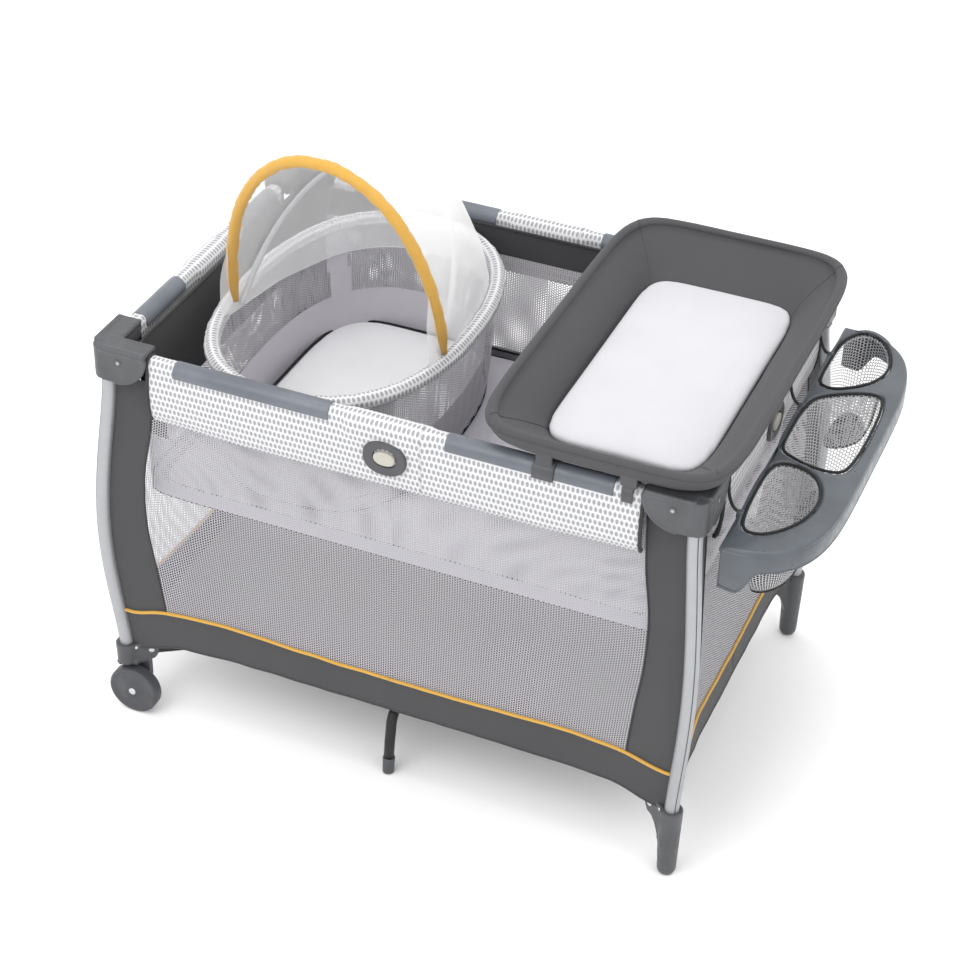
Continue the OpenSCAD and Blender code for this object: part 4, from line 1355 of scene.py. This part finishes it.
def canopy():
    """The semi-sheer hood: rows run over the head from the left hem to the right hem."""
    inside = rim_a - 13
    hem = [(inside - 4, bow_y - 48, rim_z + 2), (inside - 2, bow_y + 10, rim_z - 8),
           (0.97 * inside, 40, rim_z - 26), (0.92 * inside, 120, rim_z - 40), (0.8 * inside, 190, rim_z - 46),
           (0.6 * inside, 235, rim_z - 46), (0.33 * inside, 262, rim_z - 44), (0, 270, rim_z - 42)]
    front_y, front_z = arch(0, BOW_H + 7, BOW_LEAN, math.pi / 2)[1:]
    crown = [(front_y, front_z), (-100, mix(front_z, bow_z, 0.09)), (-30, bow_z + 268), (55, bow_z + 246),
             (120, bow_z + 222), (172, bow_z + 128), (217, bow_z + 36), (244, bow_z - 52)]
    steps, cols = 44, 72
    front_part = 0.12
    rows = []
    for i in range(steps + 1):
        s = i / steps
        h = through(hem, s)
        c = (bassinet_x, *through(crown, s))
        row = []
        for j in range(cols + 1):
            t = math.pi * j / cols
            up = math.sin(t) ** 0.86
            x = bassinet_x - abs(h[0]) * spow(math.cos(t), 0.98)
            y = mix(h[1], c[1], up)
            z = mix(h[2], c[2], up)
            if s < front_part:
                bow = arch(BOW_HALF + 1, BOW_H + 4, BOW_LEAN, math.pi - t)
                pull = (1 - s / front_part) * smooth(0.16, 0.5, min(t, math.pi - t))
                x, y, z = (mix(v, w, pull) for v, w in zip((x, y, z), bow))
            crease = 3.2 * ripple((x, y, z), 95, 2.2) + 1.3 * ripple((x, y, z), 34, 6.1)
            crease *= smooth(0.0, 0.06, s)
            d = Vector((x - bassinet_x, y - 40, z - rim_z)).normalized()
            row.append((x + d.x * crease, y + d.y * crease, z + d.z * crease))
        rows.append(row)
    hood = grid("canopy_hood", rows, [MAT["canopy"]])
    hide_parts("canopy_fabric")
    left = [r[0] for r in rows]
    right = [r[-1] for r in rows][::-1]
    edge = tube("canopy_hem", left + right[1:], 1.5, MAT["pad"], sides=8)
    start = put([(bassinet_x, bow_y + 130, rim_z + 100)])[0]
    end = put([(bassinet_x, bow_y - 4, rim_z + 100)])[0]
    for part in (hood, edge):
        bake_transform(part)
        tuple(start)
        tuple(end)


# ---- Changing tray ----

tray_low, tray_high = box("changer_frame")
TRAY_X = (tray_low[0] + tray_high[0]) / 2 - yard_x + 7
TRAY_A = (tray_high[0] - tray_low[0]) / 2 - 17
TRAY_B = (tray_high[1] - tray_low[1]) / 2 - 8
TRAY_Z = tray_high[2] - 8
RIM_R = 7.5


def changer():
    """The tray's cloth: up from its floor, over the rim tube and under to its floor again."""
    n = 240
    floor_x = TRAY_X + 2
    pad_z = box("changer_pad")[0][2]
    section_in = [(0.02, 0.02, 1, -3), (0.32, 0.35, 1, -3), (0.62, 0.68, 1, -3), (0.66, 0.715, 1, -2),
                  (0.68, 0.742, 1, 5), (0.705, 0.79, 1, 16), (0.745, 0.845, 0, 28), (0.82, 0.90, 0, 42),
                  (0.91, 0.95, 0, 54), (0.965, 0.98, 0, 62)]
    rows = []

    def ring_of(cx, a, b, z, wave):
        out = []
        for x, y in rounded(cx, 0, a, b, 7, n):
            w = wave * (1.6 * ripple((x, y, z), 55, 8.3) + 0.6 * ripple((x, y, z), 20, 1.3))
            d = Vector((x - cx, y)).normalized()
            out.append((x + d.x * w, y + d.y * w, z + 0.4 * w))
        return out

    for share_a, share_b, shift, up in section_in:
        wave = 1 if up > 0 else 0.2
        rows.append(ring_of(TRAY_X + shift, TRAY_A * share_a, TRAY_B * share_b, pad_z + up, wave))
    for k in range(11):
        q = math.radians(172 - 23 * k)
        out, up = RIM_R * math.cos(q), RIM_R * math.sin(q)
        rows.append(ring_of(TRAY_X, TRAY_A + out, TRAY_B + out, TRAY_Z + up, 0.35))
    for grow_a, grow_b, drop in ((3, 2, 15), (-1, -2, 22), (-14, -10, 30), (-30, -24, 36), (-44, -42, 43),
                                 (-54, -60, 49), (-60, -80, 58), (-66, -98, 68)):
        rows.append(ring_of(TRAY_X, TRAY_A + grow_a, TRAY_B + grow_b, TRAY_Z - drop, 1.2))
    rows.append(ring_of(floor_x, TRAY_A * 0.3, TRAY_B * 0.4, TRAY_Z - 70, 0))
    rows.append(ring_of(floor_x, 2, 2, TRAY_Z - 70, 0))
    shell = grid("changer_cloth", rows, [MAT["changer"]], across=True)
    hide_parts("changer_shell")
    parts = [shell]
    rim_ring = [((x - TRAY_X) / TRAY_A, y / TRAY_B) for x, y, z in rows[len(section_in) + 3]]
    for k, (sx, sy) in enumerate(((-1, -1), (-1, 1), (1, -1), (1, 1))):
        towards = [sx * u + sy * v for u, v in rim_ring]
        j = towards.index(max(towards))
        path = [(r[j][0], r[j][1], r[j][2] + 0.2) for r in rows[3:len(section_in) + 6]]
        parts.append(tube(f"changer_seam_{k}", path, 0.9, MAT["changer"], sides=8))
    trims = (("changer_welt", rows[len(section_in) + 8], 1.8, "changer"),
             ("changer_piping", rows[-5], 2.0, "binding"),
             ("changer_inner_welt", rows[3], 1.6, "changer"))
    for name, row, r, material in trims:
        parts.append(tube(name, row, r, MAT[material], sides=8, closed=True))
    for part in parts:
        declare(part, "changer", "changer_fabric")


def changer_pad():
    low, high = box("changer_pad")
    cx = (low[0] + high[0]) / 2 - yard_x
    a, b = (high[0] - low[0]) / 2 + 16, (high[1] - low[1]) / 2 + 21
    pad = slab("changing_pad", cx, a, b, 8, low[2] - 1, high[2] + 1, MAT["pad"], 160, crown=2, edge=5)
    pad = puffed(pad, 4.5)
    declare(pad, "changer", "pad_fabric", "changer_pad")


def changer_hooks():
    """Four moulded hooks that hold the tray's rim over the long rails."""
    parts = []
    outer_r, thick = 20.0, 4.4
    outer = [math.radians(-32 + 10 * k) for k in range(22)]
    inner = [math.radians(178 - 10 * k) for k in range(22)]
    outline = [(outer_r * math.cos(q), outer_r * math.sin(q)) for q in outer]
    outline += [((outer_r - thick) * math.cos(q), (outer_r - thick) * math.sin(q)) for q in inner]
    for sy in (-1, 1):
        over_rail = lambda u, v, w, sy=sy: (w, sy * (leg_y + u), rail_z + v)
        y0, y1 = sorted((sy * (leg_y + 8), sy * (leg_y + 15)))
        for x, wide in ((250, 34), (380, 18)):
            solids = [prism(outline, x - wide / 2, x + wide / 2, over_rail),
                      block((x - 13, y0, rail_z + 16), (x + 13, y1, TRAY_Z - 6))]
            parts.append(moulded("hook", solids, MAT["latch"], voxel=1.5, rounds=3))
    piece = join("changer_hooks", parts)
    declare(piece, "changer", "changer_fabric", "changer_frame")


# ---- Organizer ----

ORG_X = 516
ORG_Z = box("organizer_pockets")[1][2] + 5
ORG_DEPTH = box("organizer_tray")[1][0] - yard_x - ORG_X
ORG_HALF = 325


ORG_END = 24


def outward_edge(inset, n):
    """The tray's outward edge from above: it bulges outward, with tight end corners."""
    points = []
    for k in range(n + 1):
        v = spow(math.sin(math.pi * (k / n - 0.5)), 0.8)
        depth = (ORG_DEPTH - ORG_END - inset) * (1 - abs(v) ** 5) ** 0.5 + ORG_END
        points.append((ORG_X + depth, (ORG_HALF - inset) * v))
    return points


POCKETS = {
    "front": ([(531, -262), (523, -180), (528, -100), (560, -84), (597, -103), (617, -150), (613, -205),
               (588, -252), (556, -276)], 136, 26),
    "middle": ([(526, -52), (522, 10), (524, 60), (536, 106), (580, 140), (622, 152), (637, 120), (641, 40),
                (638, -40), (626, -78), (590, -84), (550, -72)], 150, 34),
    "back": ([(524, 160), (523, 225), (530, 290), (556, 322), (590, 306), (612, 262), (617, 215), (598, 172),
              (560, 140), (534, 138)], 136, 26),
}


def flat_plate(name, outline, holes, material, z):
    """A plate with holes and rounded edges, its top at z."""
    thickness, round_edge = 13, 5.5
    curve = bpy.data.curves.new(name, "CURVE")
    curve.dimensions = "2D"
    curve.fill_mode = "BOTH"
    curve.extrude = (thickness / 2 - round_edge) * MM
    curve.bevel_depth = round_edge * MM
    curve.bevel_resolution = 4
    curve.offset = -round_edge * MM
    for points in [outline] + holes:
        spline = curve.splines.new("POLY")
        spline.points.add(len(points) - 1)
        for q, (x, y) in zip(spline.points, points):
            q.co = ((x + yard_x) * MM, y * MM, 0, 1)
        spline.use_cyclic_u = True
    obj = bpy.data.objects.new(name, curve)
    bpy.context.scene.collection.objects.link(obj)
    bpy.context.view_layer.update()
    mesh = bpy.data.meshes.new_from_object(obj.evaluated_get(bpy.context.evaluated_depsgraph_get()))
    bpy.data.objects.remove(obj)
    co = points_of(mesh)
    co[:, 2] += (z - thickness / 2) * MM
    mesh.vertices.foreach_set("co", co.reshape(-1))
    mesh.materials.clear()
    made = new_object(name, mesh, [material])
    weld = made.modifiers.new("weld", "WELD")
    weld.merge_threshold = 0.02 * MM
    return settle(made)


def organizer_tray():
    """The moulded tray with its skirt, and the three hooks that hang it over the right rail."""
    holes = [[tuple(p) for p in closed_through(knots, 72)] for knots, depth, shrink in POCKETS.values()]
    inset = 1.5
    straight = [(ORG_X + inset, ORG_HALF - inset), (ORG_X + inset, inset - ORG_HALF)]
    plate = flat_plate("plate", outward_edge(inset, 96) + straight, holes, MAT["tray"], ORG_Z)
    inset = 3
    ends = [ORG_X + ORG_END - 4 * q for q in range(1, 6)]
    skirt_path = [(x, inset - ORG_HALF) for x in ends[::-1]]
    skirt_path += outward_edge(inset, 120)
    skirt_path += [(x, ORG_HALF - inset) for x in ends]
    walls_rows = []
    for level in range(9):
        t = level / 8
        ring = []
        for x, y in skirt_path:
            end = smooth(0.90, 0.985, abs(y) / ORG_HALF) * smooth(ORG_X + 62, ORG_X + 30, x)
            bottom = ORG_Z - 36 - 40 * end
            tip = 10 * smooth(ORG_X + 26, ORG_X + 2, x) * end
            flare = math.sin(math.pi * t)
            ring.append((x + 0.6 * flare, y * (1 + 0.006 * flare), mix(ORG_Z - 6, bottom + 0.4 * tip, t)))
        walls_rows.append(ring)
    skirt = grid("skirt", walls_rows, [MAT["tray"]])
    thicken(skirt, 3.0)
    lip = tube("lip", walls_rows[-1], 2.2, MAT["tray"], sides=10)
    tray = join("organizer_plate", [plate, skirt, lip])
    declare(tray, "organizer", "tray_plastic", "organizer_tray")
    straps = []
    for y in (-233, 72, 233):
        turn = [(leg_x + 17.5 * math.cos(q), y, rail_z + 17.5 * math.sin(q))
                for q in (math.radians(172 - 14 * k) for k in range(13))]
        path = turn + [(leg_x + 19, y, rail_z - 25), (ORG_X - 8, y, ORG_Z + 6), (ORG_X + 6, y, ORG_Z - 4)]
        curve = [tuple(through(path, k / 60)) for k in range(61)]
        straps.append(tube("strap", curve, 2.6, MAT["dark_steel"], sides=14))
        straps.append(moulded("boss", [rod((ORG_X - 1, y, ORG_Z - 5), (ORG_X + 9, y, ORG_Z - 5), 7.5)],
                              MAT["tray"], voxel=1.4, rounds=3))
    hooks = join("organizer_hooks", straps)
    declare(hooks, "organizer", "dark_steel")


def organizer_pockets():
    """Three mesh bags that hang in the tray's holes."""
    n = 96
    levels = 22
    for name, (knots, depth, shrink) in POCKETS.items():
        hole = np.array(closed_through(knots, n))
        centre = hole.mean(axis=0)
        top = ORG_Z - 3
        rows = []
        for i in range(levels + 1):
            t = i / levels
            share = 1 - (shrink / 60) * (0.25 * t + 0.75 * t ** 4)
            ring = []
            for p in hole:
                sag = 2.2 * math.sin(math.pi * t) * ripple((p[0], p[1], depth * t), 38, 9.0)
                q = centre + (p - centre) * share * (1 + sag / 60) - (p - centre) * 0.045
                ring.append((q[0] - 4 * t, q[1], top - depth * t))
            rows.append(ring)
        for s in (0.96, 0.8, 0.5, 0.02):
            base = np.array([(x, y) for x, y, z in rows[levels]])
            mid = base.mean(axis=0)
            rows.append([(*(mid + (p - mid) * s), top - depth - 2.5 * (1 - s)) for p in base])

        def kind(i, j):
            return 1 if i >= levels - 1 else 0

        bag = grid(f"pocket_{name}", rows, [MAT["black_mesh"], MAT["binding"]], across=True, kind=kind)
        if name == "front":
            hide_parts("organizer_pockets")
        near_edge = [(x, y, ORG_Z - 1.5) for x, y in centre + (hole - centre) * 0.965]
        rim = tube(f"pocket_binding_{name}", near_edge, 2.4, MAT["black"], sides=12, closed=True)
        further_in = [(x, y, ORG_Z - 5) for x, y in centre + (hole - centre) * 0.91]
        lip = tube(f"pocket_cord_{name}", further_in, 1.4, MAT["black_mesh"], sides=10, closed=True)
        low = tube(f"pocket_hem_{name}", rows[levels], 1.8, MAT["black"], sides=8, closed=True)
        seam_path = [r[int(n * 0.62)] for r in rows[:levels + 1]]
        seam = tube(f"pocket_seam_{name}", seam_path, 2.2, MAT["black"], sides=8)
        declare(bag, "organizer", "mesh_fabric")
        for part in (rim, lip, low, seam):
            declare(part, "organizer", "dark_fabric")


# ---- Floor, camera and lights ----

def studio():
    """A pale floor, a white surround and three soft lamps."""
    size = 14
    mesh = bpy.data.meshes.new("studio_floor")
    corners = [(-size, -size, 0), (size, -size, 0), (size, size, 0), (-size, size, 0)]
    mesh.from_pydata(corners, [], [(0, 1, 2, 3)])
    ground = new_object("studio_floor", mesh, [])
    n = Nodes("studio_floor", 0.9)
    n.shader.inputs["Base Color"].default_value = (0.98, 0.98, 0.98, 1)
    ground.data.materials.append(n.material)
    world = bpy.data.worlds.new("studio")
    world.use_nodes = True
    world.node_tree.nodes["Background"].inputs["Color"].default_value = (1, 1, 1, 1)
    world.node_tree.nodes["Background"].inputs["Strength"].default_value = 1.25
    bpy.context.scene.world = world
    bpy.context.scene.view_settings.view_transform = "Standard"
    lamps = (("key", (-0.9, -2.6, 3.1), 44, 2.4), ("fill", (2.8, -1.4, 2.6), 14, 2.4),
             ("top", (0.0, 0.2, 4.2), 42, 2.6))
    for name, place, power, width in lamps:
        light = bpy.data.lights.new(name, "AREA")
        light.energy = power
        light.size = width
        lamp = bpy.data.objects.new(name, light)
        lamp.location = place
        lamp.rotation_euler = (Vector((0, 0, 0.4)) - Vector(place)).to_track_quat("-Z", "Y").to_euler()
        bpy.context.scene.collection.objects.link(lamp)


def camera():
    """The camera looks from the front right, a little from above, rolled by a degree or so."""
    azimuth, elevation, roll = math.radians(22.52), math.radians(36.32), math.radians(1.4)
    target = Vector((yard_x * MM, 0, 0.37))
    back = Vector((math.sin(azimuth) * math.cos(elevation), -math.cos(azimuth) * math.cos(elevation),
                   math.sin(elevation)))
    right = Vector((math.cos(azimuth), math.sin(azimuth), 0))
    up = back.cross(right)
    turned = right * math.cos(roll) + up * math.sin(roll)
    upward = up * math.cos(roll) - right * math.sin(roll)
    data = bpy.data.cameras.new("camera")
    data.sensor_width = 36
    data.lens = 87.3
    data.shift_x = 0.0069
    data.shift_y = 0.0197
    data.clip_end = 60
    eye = bpy.data.objects.new("camera", data)
    matrix = np.eye(4)
    for column, v in enumerate((turned, upward, back)):
        matrix[:3, column] = v
    matrix[:3, 3] = target + back * 3.8706
    eye.matrix_world = Matrix(matrix.tolist())
    bpy.context.scene.collection.objects.link(eye)
    bpy.context.scene.camera = eye


camera()
studio()
carried_over()
legs()
cap()
pins()
foot()
wheel_bracket()
wheel()
middle_legs()
sleeves()
clips()
latches()
walls()
floor()
insert()
insert_mattress()
bassinet()
bassinet_mattress()
bows()
canopy()
changer()
changer_pad()
changer_hooks()
organizer_tray()
organizer_pockets()
